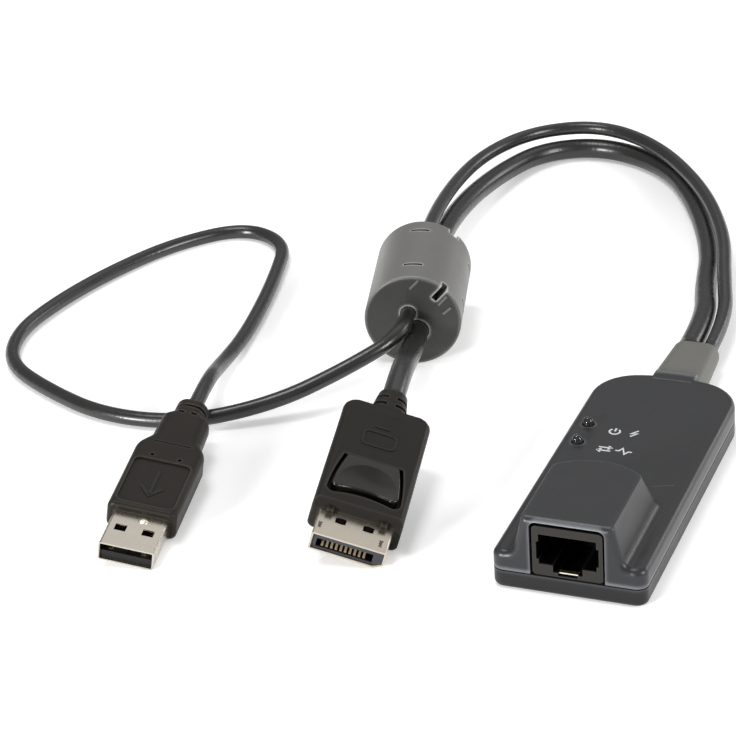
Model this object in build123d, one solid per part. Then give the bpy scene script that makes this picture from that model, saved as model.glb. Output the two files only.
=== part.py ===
from build123d import *
import math
import os

# Screen, keyboard and mouse adapter: a small case with a network jack at its front, and from its
# rear a pair of cables that share one ferrite and end in a USB plug and a video plug.
# Millimetres. The case runs along Y with its jack facing -Y, and everything rests on z = 0.

# Case, as seen from above
case_width = 32.6
case_length = 81.4
rear_bow = 4.4
front_corner_radius = 2.5
rear_corner_radius = 10.5
wall = 1.5
boot_length = 19.6

# Case heights
seam_z = 4.1
seam_gap = 0.3
deck_z = 8.6
floor_thickness = 1.4
deck_thickness = 1.5
bottom_edge_radius = 1.2
lip_thickness = 0.7
lip_height = 0.9
lip_clearance = 0.1

# Hood over the network jack
hood_top_z = 17.6
hood_top_half_width = 9.6
hood_foot_half_width = 11.8
hood_top_length = 21.6
hood_foot_length = 26.0
hood_arc_rise = 4.0
hood_corner_radius = 2.6
hood_edge_radius = 0.6
hood_front_radius = 1.6
hood_wall = 1.2
hood_foot_radius = 2.0

# Network jack
jack_width = 14.8
jack_height = 11.3
jack_depth = 18.0
jack_set_back = 0.3
jack_clearance = 0.5
jack_head_room = 0.9
jack_corner_radius = 1.4
jack_edge_radius = 0.8
port_width = 12.2
port_height = 7.0
port_floor_height = 2.5
port_depth = 12.5
key_width = 13.2
key_low = 3.6
key_high = 7.8
latch_wide = 6.3
latch_wide_drop = 1.6
latch_narrow = 4.1
latch_narrow_drop = 2.3
tab_thickness = 0.25
tab_depth = 1.1
tab_set_back = 0.5
pin_count = 8
pin_pitch = 1.02
pin_width = 0.46
pin_thickness = 0.3
pin_drop = 2.4
pin_start = 3.0
pin_tail_gap = 0.1

# Circuit board and what stands on it
board_thickness = 1.2
board_margin = 0.5
board_rear_relief = 7.0
board_shelf_depth = 3.0
main_chip_size = 12.0
main_chip_height = 1.4
memory_chip_length = 6.0
memory_chip_width = 5.0
memory_chip_height = 1.2
main_chip_place = (0.5, -14.0)
memory_chip_from_side = 6.3
memory_chip_y = -12.0
crystal_from_side = 6.8
crystal_y = -18.0
capacitor_places = ((2.0, 0.0), (6.0, 0.0))
crystal_length = 5.0
crystal_width = 3.2
crystal_height = 1.5
capacitor_radius = 1.4
capacitor_height = 2.4
header_depth = 4.0
header_height = 2.4
header_gap_from_flange = 7.0
usb_header_width = 5.2
video_header_width = 6.2
usb_header_x = 3.2
video_header_x = -3.6
lead_radius = 0.4
lead_pitch = 0.95
usb_lead_count = 4
video_lead_count = 5

# Signal lamps
lamp_from_side = 4.1
power_lamp_y = 4.3
active_lamp_y = -3.7
lamp_radius = 1.2
lamp_hole_radius = 1.45
lamp_stem_rise = 0.6
lamp_flange_radius = 1.8
lamp_chip_width = 1.6
lamp_chip_depth = 0.9
lamp_chip_height = 0.7

# Case screws and their posts
post_radius = 2.4
front_post_from_side = 4.1
front_post_from_front = 24.0
rear_post_from_side = 5.3
rear_post_from_rear = 14.0
screw_radius = 1.0
screw_length = 5.2
screw_head_radius = 1.8
screw_head_height = 1.2
screw_head_depth = 0.4
screw_recess = 0.3
screw_clearance = 0.12
hex_socket_radius = 0.75
hex_socket_depth = 0.7

# Cable boot at the rear of the case
boot_z = 4.4
boot_base_width = 13.2
boot_base_height = 7.2
boot_end_width = 10.8
boot_end_height = 6.4
boot_corner_radius = 3.1
boot_end_edge_radius = 1.8
boot_neck_width = 10.4
boot_neck_height = 4.2
boot_neck_corner_radius = 1.05
boot_flange_width = 13.0
boot_flange_height = 5.2
boot_flange_thickness = 1.8
boot_flange_corner_radius = 1.3
boot_clearance = 0.1
collar_width = 9.8
collar_top_z = 8.7
collar_height = 1.9
collar_reach = 1.4
collar_depth = 3.0
collar_edge_radius = 0.6

# Cables
usb_cable_diameter = 3.5
video_cable_diameter = 5.2

# Ferrite on the cable pair
ferrite_x = -64.7
ferrite_y = 36.3
ferrite_turn = 14.8
ferrite_radius = 11.4
ferrite_length = 30.6
ferrite_skin = 1.3
ferrite_bore_radius = 6.2
ferrite_edge_radius = 0.5
ferrite_hole_clearance = 0.15
usb_hole_x = -1.0
usb_hole_z = 1.9
video_hole_x = 1.0
video_hole_z = -2.6
notch_angle = 43.0
notch_width = 1.5
notch_inner_radius = 7.5
notch_depth = 2.4
rear_notch_width = 2.6
slit_length = 4.4
slit_width = 0.9
slit_depth = 0.5
slit_places = (6.9, 25.5)
slit_turns = (0, 90, 180, 270)

# USB plug, in its own frame: x across, y from the mouth to the tail, z up
usb_place = (-91.8, -65.0, 3.3)
usb_turn = 9.0
usb_pitch = 4.1
usb_roll = 10.9
usb_shell_width = 12.0
usb_shell_height = 4.5
usb_shell_length = 18.75
usb_shell_wall = 0.32
usb_shell_exposed = 11.6
usb_shell_corner = 0.6
usb_window_width = 2.5
usb_window_length = 2.1
usb_window_x = 3.0
usb_window_y = 6.2
usb_tongue_thickness = 1.84
usb_tongue_start = 0.6
usb_contact_thickness = 0.2
usb_contact_width = 1.0
usb_outer_contact_x = 3.5
usb_inner_contact_x = 1.0
usb_outer_contact_start = 1.6
usb_inner_contact_start = 2.6
usb_core_width = 10.6
usb_core_height = 4.0
usb_core_length = 7.0
usb_body_width = 15.4
usb_body_height = 7.0
usb_body_mid_z = 0.65
usb_body_corner = 1.7
usb_body_end = 34.0
usb_shoulder_end = 41.0
usb_neck_width = 11.3
usb_neck_height = 6.6
usb_neck_narrowing = 0.5
usb_neck_corner = 2.7
usb_neck_end = 48.2
usb_tail_width = 7.4
usb_tail_height = 6.2
usb_tail_corner = 3.0
usb_tail_start = 50.3
usb_tail_end = 54.5
usb_front_edge_radius = 1.0
usb_panel_width = 12.6
usb_panel_start = 13.2
usb_panel_end = 29.4
usb_panel_depth = 0.4
usb_panel_corner = 1.6
usb_pip_radius = 0.45
usb_pip_depth = 0.4
usb_pip_places = ((-3.1, 31.0), (3.1, 30.8))
usb_groove_y = 52.2
usb_groove_width = 0.8
usb_groove_depth = 0.8
usb_line_y = 36.2
usb_line_length = 8.4
usb_line_width = 0.4
usb_line_depth = 0.25
usb_eye_x = 1.45
usb_eye_y = 49.3
usb_eye_width = 1.3
usb_eye_length = 0.9
usb_eye_depth = 0.9
usb_core_corner = 0.8

# Video plug, in its own frame: x across, y from the mouth to the tail, z up
video_place = (-46.9, -52.5, 4.52)
video_turn = 9.4
video_pitch = 8.6
video_roll = 18.2
video_shell_width = 16.1
video_shell_height = 4.76
video_shell_length = 14.0
video_shell_wall = 0.4
video_shell_cut = 2.0
video_shell_cut_slope = 0.6
video_shell_corner = 0.5
video_window_width = 2.3
video_window_length = 1.6
video_window_x = 3.0
video_window_y = 5.5
video_insert_start = 0.5
video_slot_width = 12.2
video_slot_x = -0.6
video_slot_low = -1.6
video_slot_high = 0.65
video_slot_depth = 6.4
video_contact_count = 10
video_contact_pitch = 1.0
video_contact_width = 0.5
video_contact_thickness = 0.2
video_contact_start = 1.1
video_contact_shift = 0.25
video_contact_rise = 0.45
video_contact_crest = 2.4
video_board_width = 13.0
video_board_thickness = 0.8
video_board_length = 9.0
video_board_low = -1.4
video_body_width = 19.6
video_body_height = 8.2
video_body_mid_z = 0.9
video_body_corner = 1.6
video_body_start = 7.5
video_body_end = 40.0
video_nose_length = 1.2
video_nose_low = 2.7
video_nose_tab_x = 5.8
video_nose_tab_width = 1.5
video_nose_tab_length = 1.0
video_nose_tab_height = 1.3
video_shoulder_end = 43.0
video_shoulder_flatness = 0.6
video_neck_overlap = 0.5
video_neck_width = 8.6
video_neck_height = 7.0
video_tail_width = 6.6
video_tail_height = 6.2
video_tail_end = 50.0
video_neck_corner = 2.6
video_rib_places = (44.6, 47.2)
video_rib_slot = 0.9
video_rib_depth = 1.1
video_rib_spine_width = 2.0
video_cavity_width = 14.6
video_cavity_low = -1.8
video_cavity_high = 2.0
video_cavity_end = 30.0

# Thumb button of the video plug and the latch that it works
pocket_front_half_width = 8.1
pocket_rear_half_width = 6.5
pocket_side_bow = 0.4
pocket_corner_radius = 1.6
pocket_front = 10.3
pocket_front_bow = 1.5
pocket_rear = 23.8
pocket_floor = 2.6
button_side_gap = 0.7
button_front_gap = 1.7
button_front_bow = 2.7
button_rear_gap = 0.15
button_low = 3.4
button_edge_radius = 0.5
button_corner_radius = 1.3
button_dish_y = 15.5
button_dish_width = 12.8
button_dish_depth = 0.9
button_post_width = 8.0
button_post_front = 19.0
button_post_rear = 20.0
button_post_gap = 0.05
button_post_clearance = 0.6
latch_arm_width = 1.4
latch_arm_thickness = 0.25
latch_arm_low = 1.55
latch_arm_front = 4.5
latch_arm_end = 29.0
latch_bar_length = 2.0
latch_seat_gap = 0.1
latch_hook_length = 1.3
latch_hook_top = 2.6
latch_groove_clearance = 0.25
latch_groove_floor = 0.75

# Places worked out from the sizes above
front_y = -(case_length + boot_length) / 2
rear_y = front_y + case_length
boot_end_y = rear_y + boot_length
upper_low_z = seam_z + seam_gap
deck_under_z = deck_z - deck_thickness
half_case = case_width / 2
lamp_x = -(half_case - lamp_from_side)
front_post_x = half_case - front_post_from_side
rear_post_x = half_case - rear_post_from_side
memory_chip_x = half_case - memory_chip_from_side
crystal_x = -(half_case - crystal_from_side)
board_top_z = upper_low_z
board_low_z = board_top_z - board_thickness
jack_front_y = front_y + jack_set_back
jack_rear_y = jack_front_y + jack_depth
jack_top_z = board_top_z + jack_height
port_floor_z = board_top_z + port_floor_height
flange_front_y = rear_y - wall - boot_flange_thickness - boot_clearance
header_rear_y = flange_front_y - header_gap_from_flange
post_places = (
    (-front_post_x, front_y + front_post_from_front),
    (front_post_x, front_y + front_post_from_front),
    (-rear_post_x, rear_y - rear_post_from_rear),
    (rear_post_x, rear_y - rear_post_from_rear),
)
far = 200.0
near_zero = 0.05
least_corner = 0.1

# Routes of the cables, chosen by eye from the photograph. The first point of each is at the boot,
# and the points in the ferrite and at the plugs follow from where those stand. The arc at each
# point takes the same share of the shorter run beside it.
bend_share = 0.45
boot_run = 16.5
usb_boot_x = 2.6
usb_boot_z = 4.8
video_boot_x = -2.4
video_boot_z = 4.4
ferrite_entry = 44.0
usb_ferrite_exit = -10.6
video_ferrite_exit = -4.3
usb_plug_run = 13.0
video_plug_run = 11.0
usb_loop = [
    (-3.0, 86.5, 6.2),
    (-8.2, 107.0, 7.3),
    (-20.2, 132.1, 7.6),
    (-38.3, 155.0, 7.8),
    (-56.8, 164.8, 7.9),
    (-73.4, 157.7, 7.8),
    (-81.8, 139.4, 8.4),
    (-82.2, 112.1, 10.5),
]
usb_lead = [
    (-73.2, 13.6, 9.0),
    (-86.5, 2.4, 4.3),
    (-104.6, -7.2, 1.8),
    (-124.5, -8.7, 1.8),
    (-143.5, -0.6, 1.8),
    (-158.2, 8.8, 1.8),
    (-163.8, 24.0, 1.8),
    (-161.9, 40.5, 1.8),
    (-156.6, 59.0, 1.8),
    (-147.3, 79.0, 1.8),
    (-133.0, 93.0, 1.8),
    (-118.6, 86.8, 1.8),
    (-114.0, 68.7, 1.8),
    (-110.4, 50.0, 1.8),
    (-108.2, 33.5, 1.8),
    (-106.6, 17.5, 3.6),
]
video_loop = [
    (-7.5, 85.5, 2.9),
    (-11.4, 106.4, 2.65),
    (-22.4, 133.4, 2.65),
    (-35.2, 153.6, 2.65),
    (-55.2, 163.0, 2.7),
    (-71.0, 155.8, 2.9),
    (-77.4, 137.6, 3.7),
    (-79.2, 110.0, 6.2),
]
video_lead_middle = (-59.7, 19.8, 11.0)

ferrite_frame = Pos(ferrite_x, ferrite_y, ferrite_radius) * Rot(0, 0, ferrite_turn)
usb_frame = Pos(*usb_place) * Rot(0, 0, usb_turn) * Rot(usb_pitch, 0, 0) * Rot(0, usb_roll, 0)
video_frame = Pos(*video_place) * Rot(0, 0, video_turn) * Rot(video_pitch, 0, 0) * Rot(0, video_roll, 0)


def in_world(frame, x, y, z):
    """Where a point of a turned piece lies in the common frame."""
    return tuple((frame * Pos(x, y, z)).position)


def usb_route():
    exit_y = boot_end_y
    route = [(usb_boot_x, exit_y, usb_boot_z), (usb_boot_x, exit_y + boot_run, usb_boot_z)]
    route += usb_loop
    route.append(in_world(ferrite_frame, usb_hole_x, ferrite_entry, usb_hole_z))
    route.append(in_world(ferrite_frame, usb_hole_x, usb_ferrite_exit, usb_hole_z))
    route += usb_lead
    route.append(in_world(usb_frame, 0, usb_tail_end + usb_plug_run, usb_body_mid_z))
    route.append(in_world(usb_frame, 0, usb_tail_end, usb_body_mid_z))
    return route


def video_route():
    exit_y = boot_end_y
    route = [(video_boot_x, exit_y, video_boot_z), (video_boot_x, exit_y + boot_run, video_boot_z)]
    route += video_loop
    route.append(in_world(ferrite_frame, video_hole_x, ferrite_entry, video_hole_z))
    route.append(in_world(ferrite_frame, video_hole_x, video_ferrite_exit, video_hole_z))
    route.append(video_lead_middle)
    route.append(in_world(video_frame, 0, video_tail_end + video_plug_run, video_body_mid_z))
    route.append(in_world(video_frame, 0, video_tail_end, video_body_mid_z))
    return route


def block(x_span, y_span, z_span):
    """A box between two limits on each axis."""
    size = [high - low for low, high in (x_span, y_span, z_span)]
    middle = [(high + low) / 2 for low, high in (x_span, y_span, z_span)]
    return Pos(*middle) * Box(*size)


def rod(radius, z_low, z_high, x=0.0, y=0.0):
    """An upright cylinder."""
    return Pos(x, y, (z_low + z_high) / 2) * Cylinder(radius, z_high - z_low)


def section(width, height, corner, y, z=0.0):
    """A rounded rectangle that faces along Y."""
    face = RectangleRounded(width, height, min(corner, 0.499 * width, 0.499 * height))
    return Plane(origin=(0, y, z), x_dir=(1, 0, 0), z_dir=(0, 1, 0)) * face


def beam(width, height, corner, y_low, y_high, z=0.0):
    """A rounded rectangle carried along Y."""
    return extrude(section(width, height, corner, y_low, z), y_high - y_low)


def outline(half_width, front, side_end, rear, front_radius, rear_radius):
    """A plan with a straight front, straight sides and a bowed rear, its four corners rounded."""
    edges = Line((-half_width, front), (half_width, front))
    edges += Line((half_width, front), (half_width, side_end))
    edges += ThreePointArc((half_width, side_end), (0, rear), (-half_width, side_end))
    edges += Line((-half_width, side_end), (-half_width, front))
    face = make_face(edges)
    if front_radius > 0:
        face = fillet(face.vertices().sort_by(Axis.Y)[:2], front_radius)
    return fillet(face.vertices().sort_by(Axis.Y)[-2:], rear_radius)


def case_plan(inset):
    """The case's plan, drawn in by an even inset."""
    return outline(
        case_width / 2 - inset,
        front_y + inset,
        rear_y - rear_bow - inset,
        rear_y - inset,
        max(front_corner_radius - inset, least_corner),
        rear_corner_radius - inset,
    )


def case_prism(inset, z_low, z_high):
    return extrude(Pos(0, 0, z_low) * case_plan(inset), z_high - z_low)


def jack_opening():
    """Room for the jack behind its rounded opening in the front of the hood."""
    width = jack_width + 2 * jack_clearance
    low = seam_z - jack_corner_radius
    high = jack_top_z + jack_head_room
    shape = section(width, high - low, jack_corner_radius, front_y - 1, (low + high) / 2)
    opening = extrude(shape, jack_rear_y + jack_clearance - front_y + 1)
    return opening & block((-far, far), (-far, far), (seam_z, far))


def boot_opening():
    """The hole in the rear wall that grips the boot's neck."""
    width = boot_neck_width + 2 * boot_clearance
    height = boot_neck_height + 2 * boot_clearance
    start = rear_y - rear_bow - wall
    corner = boot_neck_corner_radius + boot_clearance
    return beam(width, height, corner, start, rear_y + collar_depth, boot_z)


def boot_room():
    """Clearance for the boot's outer base inside the collar."""
    width = boot_base_width + 2 * boot_clearance
    height = boot_base_height + 2 * boot_clearance
    room = beam(width, height, boot_corner_radius, rear_y - rear_bow, rear_y + boot_length, boot_z)
    return room - case_prism(0, -1, far)


def screw_hole(x, y):
    """A screw's clearance hole with a recess for its head, open at the case's underside."""
    head_top = screw_head_depth + screw_head_height
    hole = rod(screw_radius + screw_clearance, 0, upper_low_z + 1, x, y)
    return hole + rod(screw_head_radius + screw_recess, -1, head_top, x, y)


def make_lower_shell():
    shell = case_prism(0, 0, seam_z)
    shell = fillet(shell.faces().sort_by(Axis.Z)[0].edges(), bottom_edge_radius)
    shell -= case_prism(wall, floor_thickness, far)
    lip_outer = case_prism(wall - lip_thickness, seam_z - lip_height, seam_z + lip_height)
    shell += lip_outer - case_prism(wall, 0, far)
    for x, y in post_places:
        shell += rod(post_radius, floor_thickness, seam_z, x, y)
    shelf_half_width = case_width / 2 - wall
    for side in (-1, 1):
        for y in (jack_rear_y - board_shelf_depth, header_rear_y - header_depth):
            inner = side * (shelf_half_width - board_shelf_depth)
            outer = side * (shelf_half_width + wall / 2)
            x_span = (min(inner, outer), max(inner, outer))
            shell += block(x_span, (y, y + board_shelf_depth), (floor_thickness, board_low_z))
    for x, y in post_places:
        shell -= screw_hole(x, y)
    shell -= jack_opening()
    shell -= boot_opening()
    return shell


def hood_plan(half_width, length, inset=0.0):
    """The hood's plan at one height, drawn in by an even inset behind its front face."""
    return outline(
        half_width - inset,
        front_y + (wall if inset else 0),
        front_y + length - inset,
        front_y + length + hood_arc_rise - inset,
        0,
        hood_corner_radius - inset / 2,
    )


def make_deck():
    """The deck with the raised hood over the jack, wider and longer at its foot than at its top."""
    foot = hood_plan(hood_foot_half_width, hood_foot_length)
    crown = hood_plan(hood_top_half_width, hood_top_length)
    hood = loft([Pos(0, 0, deck_z) * foot, Pos(0, 0, hood_top_z) * crown], ruled=True)
    root = extrude(Pos(0, 0, upper_low_z) * foot, deck_z - upper_low_z)
    deck = case_prism(0, upper_low_z, deck_z) + (hood + root)
    rear_y_of_foot = front_y + hood_foot_length + hood_arc_rise
    behind = near_zero + front_y
    foot_edges = []
    for edge in deck.edges():
        place = edge.center()
        beside = abs(place.X) < hood_foot_half_width + near_zero
        within = front_y + wall < place.Y < rear_y_of_foot + near_zero
        if abs(place.Z - deck_z) < near_zero and beside and within:
            foot_edges.append(edge)
    deck = fillet(foot_edges, hood_foot_radius)
    top_edges = [edge for edge in deck.edges() if abs(edge.center().Z - hood_top_z) < near_zero]
    deck = fillet([edge for edge in top_edges if edge.center().Y > behind], hood_edge_radius)
    front_face = deck.faces().sort_by(Axis.Y)[0]
    chain = [edge for edge in front_face.edges() if edge.center().Z > deck_z - near_zero]
    rim = []
    for edge in deck.edges():
        place = edge.center()
        outside = abs(place.X) > half_case - wall or place.Y > rear_y_of_foot
        if abs(place.Z - deck_z) < near_zero and outside and place.Y > behind:
            rim.append(edge)
    return fillet(chain + rim, hood_front_radius)


def hood_room():
    """The hollow of the hood, behind its front wall."""
    foot = hood_plan(hood_foot_half_width, hood_foot_length, hood_wall)
    top = hood_plan(hood_top_half_width, hood_top_length, hood_wall)
    room_top = hood_top_z - hood_wall
    upper = loft([Pos(0, 0, deck_z) * foot, Pos(0, 0, room_top) * top], ruled=True)
    return upper + extrude(Pos(0, 0, deck_under_z - 1) * foot, deck_z - deck_under_z + 1)


def make_collar():
    """The lip that stands out from the deck's rear over the boot."""
    collar = block(
        (-collar_width / 2, collar_width / 2),
        (rear_y - collar_depth, rear_y + collar_reach),
        (collar_top_z - collar_height, collar_top_z),
    )
    ends = collar.edges().filter_by(Axis.X).group_by(Axis.Z)[-1]
    sides = collar.edges().filter_by(Axis.Y).group_by(Axis.Z)[-1]
    return fillet(ends + sides, collar_edge_radius)


def make_upper_shell():
    shell = make_deck()
    shell += make_collar()
    shell -= case_prism(wall, 0, deck_under_z)
    shell -= hood_room()
    lip_top = seam_z + lip_height + lip_clearance
    shell -= case_prism(wall - lip_thickness - lip_clearance, 0, lip_top)
    for x, y in post_places:
        shell += rod(post_radius, upper_low_z, deck_under_z, x, y)
        shell -= rod(screw_radius, 0, screw_head_depth + screw_head_height + screw_length, x, y)
    for y in (power_lamp_y, active_lamp_y):
        shell -= rod(lamp_hole_radius, 0, far, lamp_x, y)
    shell -= jack_opening()
    shell -= boot_opening()
    shell -= boot_room()
    return shell


def make_board():
    board = case_prism(wall + board_margin, board_low_z, board_top_z)
    for x, y in post_places:
        board -= rod(post_radius + board_margin, 0, far, x, y)
    relief_y = (flange_front_y - board_margin - boot_flange_thickness, far)
    return board - block((-board_rear_relief, board_rear_relief), relief_y, (0, far))


def make_jack():
    """The network jack: keyed opening, latch slot below it, and slots that hold its springs."""
    housing = beam(
        jack_width,
        jack_height,
        jack_edge_radius,
        jack_front_y,
        jack_rear_y,
        board_top_z + jack_height / 2,
    )
    mouth_y = (jack_front_y - 1, jack_front_y + port_depth)
    port_top_z = port_floor_z + port_height
    housing -= block((-port_width / 2, port_width / 2), mouth_y, (port_floor_z, port_top_z))
    key_z = (board_top_z + key_low, board_top_z + key_high)
    housing -= block((-key_width / 2, key_width / 2), mouth_y, key_z)
    wide_z = (port_floor_z - latch_wide_drop, port_floor_z + 1)
    housing -= block((-latch_wide / 2, latch_wide / 2), mouth_y, wide_z)
    narrow_z = (port_floor_z - latch_narrow_drop, port_floor_z + 1)
    housing -= block((-latch_narrow / 2, latch_narrow / 2), mouth_y, narrow_z)
    for x in pin_places():
        slot_x = (x - pin_width / 2, x + pin_width / 2)
        slot_y = (jack_front_y + port_depth - 1, far)
        slot_z = (pin_rear_z() - pin_thickness / 2, pin_rear_z() + pin_thickness / 2)
        housing -= block(slot_x, slot_y, slot_z)
    return housing


def make_jack_tab():
    """A gilt spring tab across the narrow part of the latch slot."""
    top = port_floor_z - latch_wide_drop
    start = jack_front_y + tab_set_back
    x_span = (-latch_narrow / 2, latch_narrow / 2)
    return block(x_span, (start, start + tab_depth), (top - tab_thickness, top))


def pin_places():
    return [(index - (pin_count - 1) / 2) * pin_pitch for index in range(pin_count)]


def pin_rear_z():
    """The height of the springs where they enter the rear wall of the jack's opening."""
    return port_floor_z + port_height - pin_drop


def make_jack_pins():
    """Eight gold springs that slope down inside the opening and run back to the board."""
    front = (jack_front_y + pin_start, port_floor_z + port_height - pin_thickness)
    bend = (jack_front_y + port_depth - pin_start / 2, pin_rear_z())
    tail_y = jack_rear_y + pin_tail_gap + pin_thickness / 2
    corner = (tail_y, pin_rear_z())
    foot = (tail_y, board_top_z + pin_thickness / 2)
    path = Polyline(front, bend, corner, foot)
    strip = trace(path, pin_thickness)
    profile = Plane(origin=(0, 0, 0), x_dir=(0, 1, 0), z_dir=(1, 0, 0)) * strip
    blade = extrude(profile, pin_width / 2, both=True)
    return Compound([Pos(x, 0, 0) * blade.solid() for x in pin_places()])


def make_lamp(y):
    """A clear lamp: a flange under the deck, a stem and a dome that stands just proud of it."""
    stem_low = board_top_z + lamp_chip_height
    stem_high = deck_z + lamp_stem_rise
    flange = rod(lamp_flange_radius, stem_low, deck_under_z, lamp_x, y)
    stem = rod(lamp_radius, deck_under_z, stem_high, lamp_x, y)
    dome = Pos(lamp_x, y, stem_high) * Sphere(lamp_radius)
    return flange + stem + dome


def make_lamp_chip(y):
    half_width = lamp_chip_width / 2
    half_depth = lamp_chip_depth / 2
    z_span = (board_top_z, board_top_z + lamp_chip_height)
    return block((lamp_x - half_width, lamp_x + half_width), (y - half_depth, y + half_depth), z_span)


def make_screws():
    """Four socket screws, driven up from the underside of the case."""
    head_top = screw_head_depth + screw_head_height
    screws = []
    for x, y in post_places:
        screw = rod(screw_head_radius, screw_head_depth, head_top, x, y)
        screw += rod(screw_radius, head_top, head_top + screw_length, x, y)
        socket = Pos(x, y, screw_head_depth) * RegularPolygon(hex_socket_radius, 6)
        screws.append((screw - extrude(socket, hex_socket_depth)).solid())
    return Compound(screws)


def chip(place, width, depth, height):
    x, y = place
    z_span = (board_top_z, board_top_z + height)
    return block((x - width / 2, x + width / 2), (y - depth / 2, y + depth / 2), z_span)


def make_header(x, width):
    rear = header_rear_y
    z_span = (board_top_z, board_top_z + header_height)
    return block((x - width / 2, x + width / 2), (rear - header_depth, rear), z_span)


def make_leads(x, count):
    """Thin wires from the boot's flange to a header on the board."""
    leads = []
    z = board_top_z + header_height / 2
    for index in range(count):
        lead_x = x + (index - (count - 1) / 2) * lead_pitch
        start = Plane(origin=(lead_x, header_rear_y, z), z_dir=(0, 1, 0))
        leads.append(extrude(start * Circle(lead_radius), flange_front_y - header_rear_y).solid())
    return Compound(leads)


def make_boot():
    """The rubber boot: a flange inside the case, a neck in its wall and a tapering sleeve outside."""
    base = section(boot_base_width, boot_base_height, boot_corner_radius, rear_y - rear_bow, boot_z)
    end = section(boot_end_width, boot_end_height, boot_corner_radius, boot_end_y, boot_z)
    sleeve = loft([base, end], ruled=True)
    sleeve = fillet(sleeve.faces().sort_by(Axis.Y)[-1].edges(), boot_end_edge_radius)
    sleeve -= case_prism(-boot_clearance, -1, far)
    neck_start = flange_front_y + boot_flange_thickness / 2
    neck = beam(boot_neck_width, boot_neck_height, boot_neck_corner_radius, neck_start, rear_y + 1, boot_z)
    flange_z = (floor_thickness + deck_under_z) / 2
    flange = beam(
        boot_flange_width,
        boot_flange_height,
        boot_flange_corner_radius,
        flange_front_y,
        flange_front_y + boot_flange_thickness,
        flange_z,
    )
    flange &= case_prism(wall + boot_clearance, 0, far)
    return sleeve + neck + flange


def tube(route, diameter, name):
    """A cable of round section along straight runs joined by tangent arcs."""
    points = [Vector(*point) for point in route]
    runs = [second - first for first, second in zip(points, points[1:])]
    radii = []
    for before, after in zip(runs, runs[1:]):
        half_turn = math.radians(before.get_angle(after)) / 2
        radii.append(bend_share * min(before.length, after.length) / math.tan(half_turn))
    path = FilletPolyline(*points, radius=radii)
    start = Plane(origin=points[0], z_dir=runs[0])
    cable = sweep(start * Circle(diameter / 2), path=path)
    shares = ", ".join(f"{radius / diameter:.1f}" for radius in radii)
    ideal = math.pi * diameter**2 / 4 * path.length
    print(name, "length", round(path.length, 1), "volume share", round(cable.volume / ideal, 4))
    print(name, "radii in diameters", shares)
    return cable


def along(radius, y_low, y_high, x=0.0, z=0.0):
    """A cylinder that lies along Y."""
    start = Plane(origin=(x, y_low, z), x_dir=(1, 0, 0), z_dir=(0, 1, 0))
    return extrude(start * Circle(radius), y_high - y_low)


def make_ferrite_sleeve():
    """The moulded sleeve: closed round its core, with a hole for each cable in both ends."""
    sleeve = along(ferrite_radius, 0, ferrite_length)
    rims = sleeve.edges().filter_by(GeomType.CIRCLE)
    sleeve = fillet(rims, ferrite_edge_radius)
    notches = (
        (notch_width, (-1, notch_depth)),
        (rear_notch_width, (ferrite_length - notch_depth, ferrite_length + 1)),
    )
    for width, y_span in notches:
        sleeve -= Rot(0, notch_angle, 0) * block((-width / 2, width / 2), y_span, (notch_inner_radius, far))
    top = ferrite_radius - slit_depth
    for y in slit_places:
        slit_y = (y - slit_width / 2, y + slit_width / 2)
        slit = block((-slit_length / 2, slit_length / 2), slit_y, (top, far))
        for turn in slit_turns:
            sleeve -= Rot(0, turn, 0) * slit
    inner = ferrite_core_shape()
    inner += along(ferrite_bore_radius, ferrite_skin, ferrite_length - ferrite_skin)
    sleeve -= inner
    usb_radius = usb_cable_diameter / 2 + ferrite_hole_clearance
    video_radius = video_cable_diameter / 2 + ferrite_hole_clearance
    sleeve -= along(usb_radius, -1, ferrite_length + 1, usb_hole_x, usb_hole_z)
    sleeve -= along(video_radius, -1, ferrite_length + 1, video_hole_x, video_hole_z)
    return sleeve


def ferrite_core_shape():
    outer = along(ferrite_radius - ferrite_skin, notch_depth, ferrite_length - notch_depth)
    return outer - along(ferrite_bore_radius, 0, ferrite_length)


def make_usb_shell():
    """Folded steel shell with two windows in its upper and lower faces."""
    shell = beam(usb_shell_width, usb_shell_height, usb_shell_corner, 0, usb_shell_length)
    inner_width = usb_shell_width - 2 * usb_shell_wall
    inner_height = usb_shell_height - 2 * usb_shell_wall
    inner_corner = usb_shell_corner - usb_shell_wall
    shell -= beam(inner_width, inner_height, inner_corner, -1, usb_shell_length + 1)
    y_span = (usb_window_y - usb_window_length / 2, usb_window_y + usb_window_length / 2)
    for side in (-1, 1):
        x = side * usb_window_x
        shell -= block((x - usb_window_width / 2, x + usb_window_width / 2), y_span, (-far, far))
    return shell


def make_usb_tongue():
    """Black carrier: a half-height tongue at the mouth and a full-height block behind it."""
    half_width = usb_shell_width / 2 - usb_shell_wall
    low = -usb_shell_height / 2 + usb_shell_wall
    tongue_y = (usb_tongue_start, usb_shell_length)
    tongue = block((-half_width, half_width), tongue_y, (low, low + usb_tongue_thickness))
    tongue += block((-half_width, half_width), (usb_shell_exposed - 1, usb_shell_length), (low, -low))
    inner_corner = usb_shell_corner - usb_shell_wall
    return tongue & beam(2 * half_width, -2 * low, inner_corner, 0, usb_shell_length)


def make_usb_contacts():
    low = -usb_shell_height / 2 + usb_shell_wall + usb_tongue_thickness
    strips = []
    for x in (-usb_outer_contact_x, -usb_inner_contact_x, usb_inner_contact_x, usb_outer_contact_x):
        is_outer = abs(x) == usb_outer_contact_x
        start = usb_outer_contact_start if is_outer else usb_inner_contact_start
        x_span = (x - usb_contact_width / 2, x + usb_contact_width / 2)
        strip = block(x_span, (start, usb_shell_exposed - 1), (low, low + usb_contact_thickness))
        strips.append(strip.solid())
    return Compound(strips)


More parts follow.
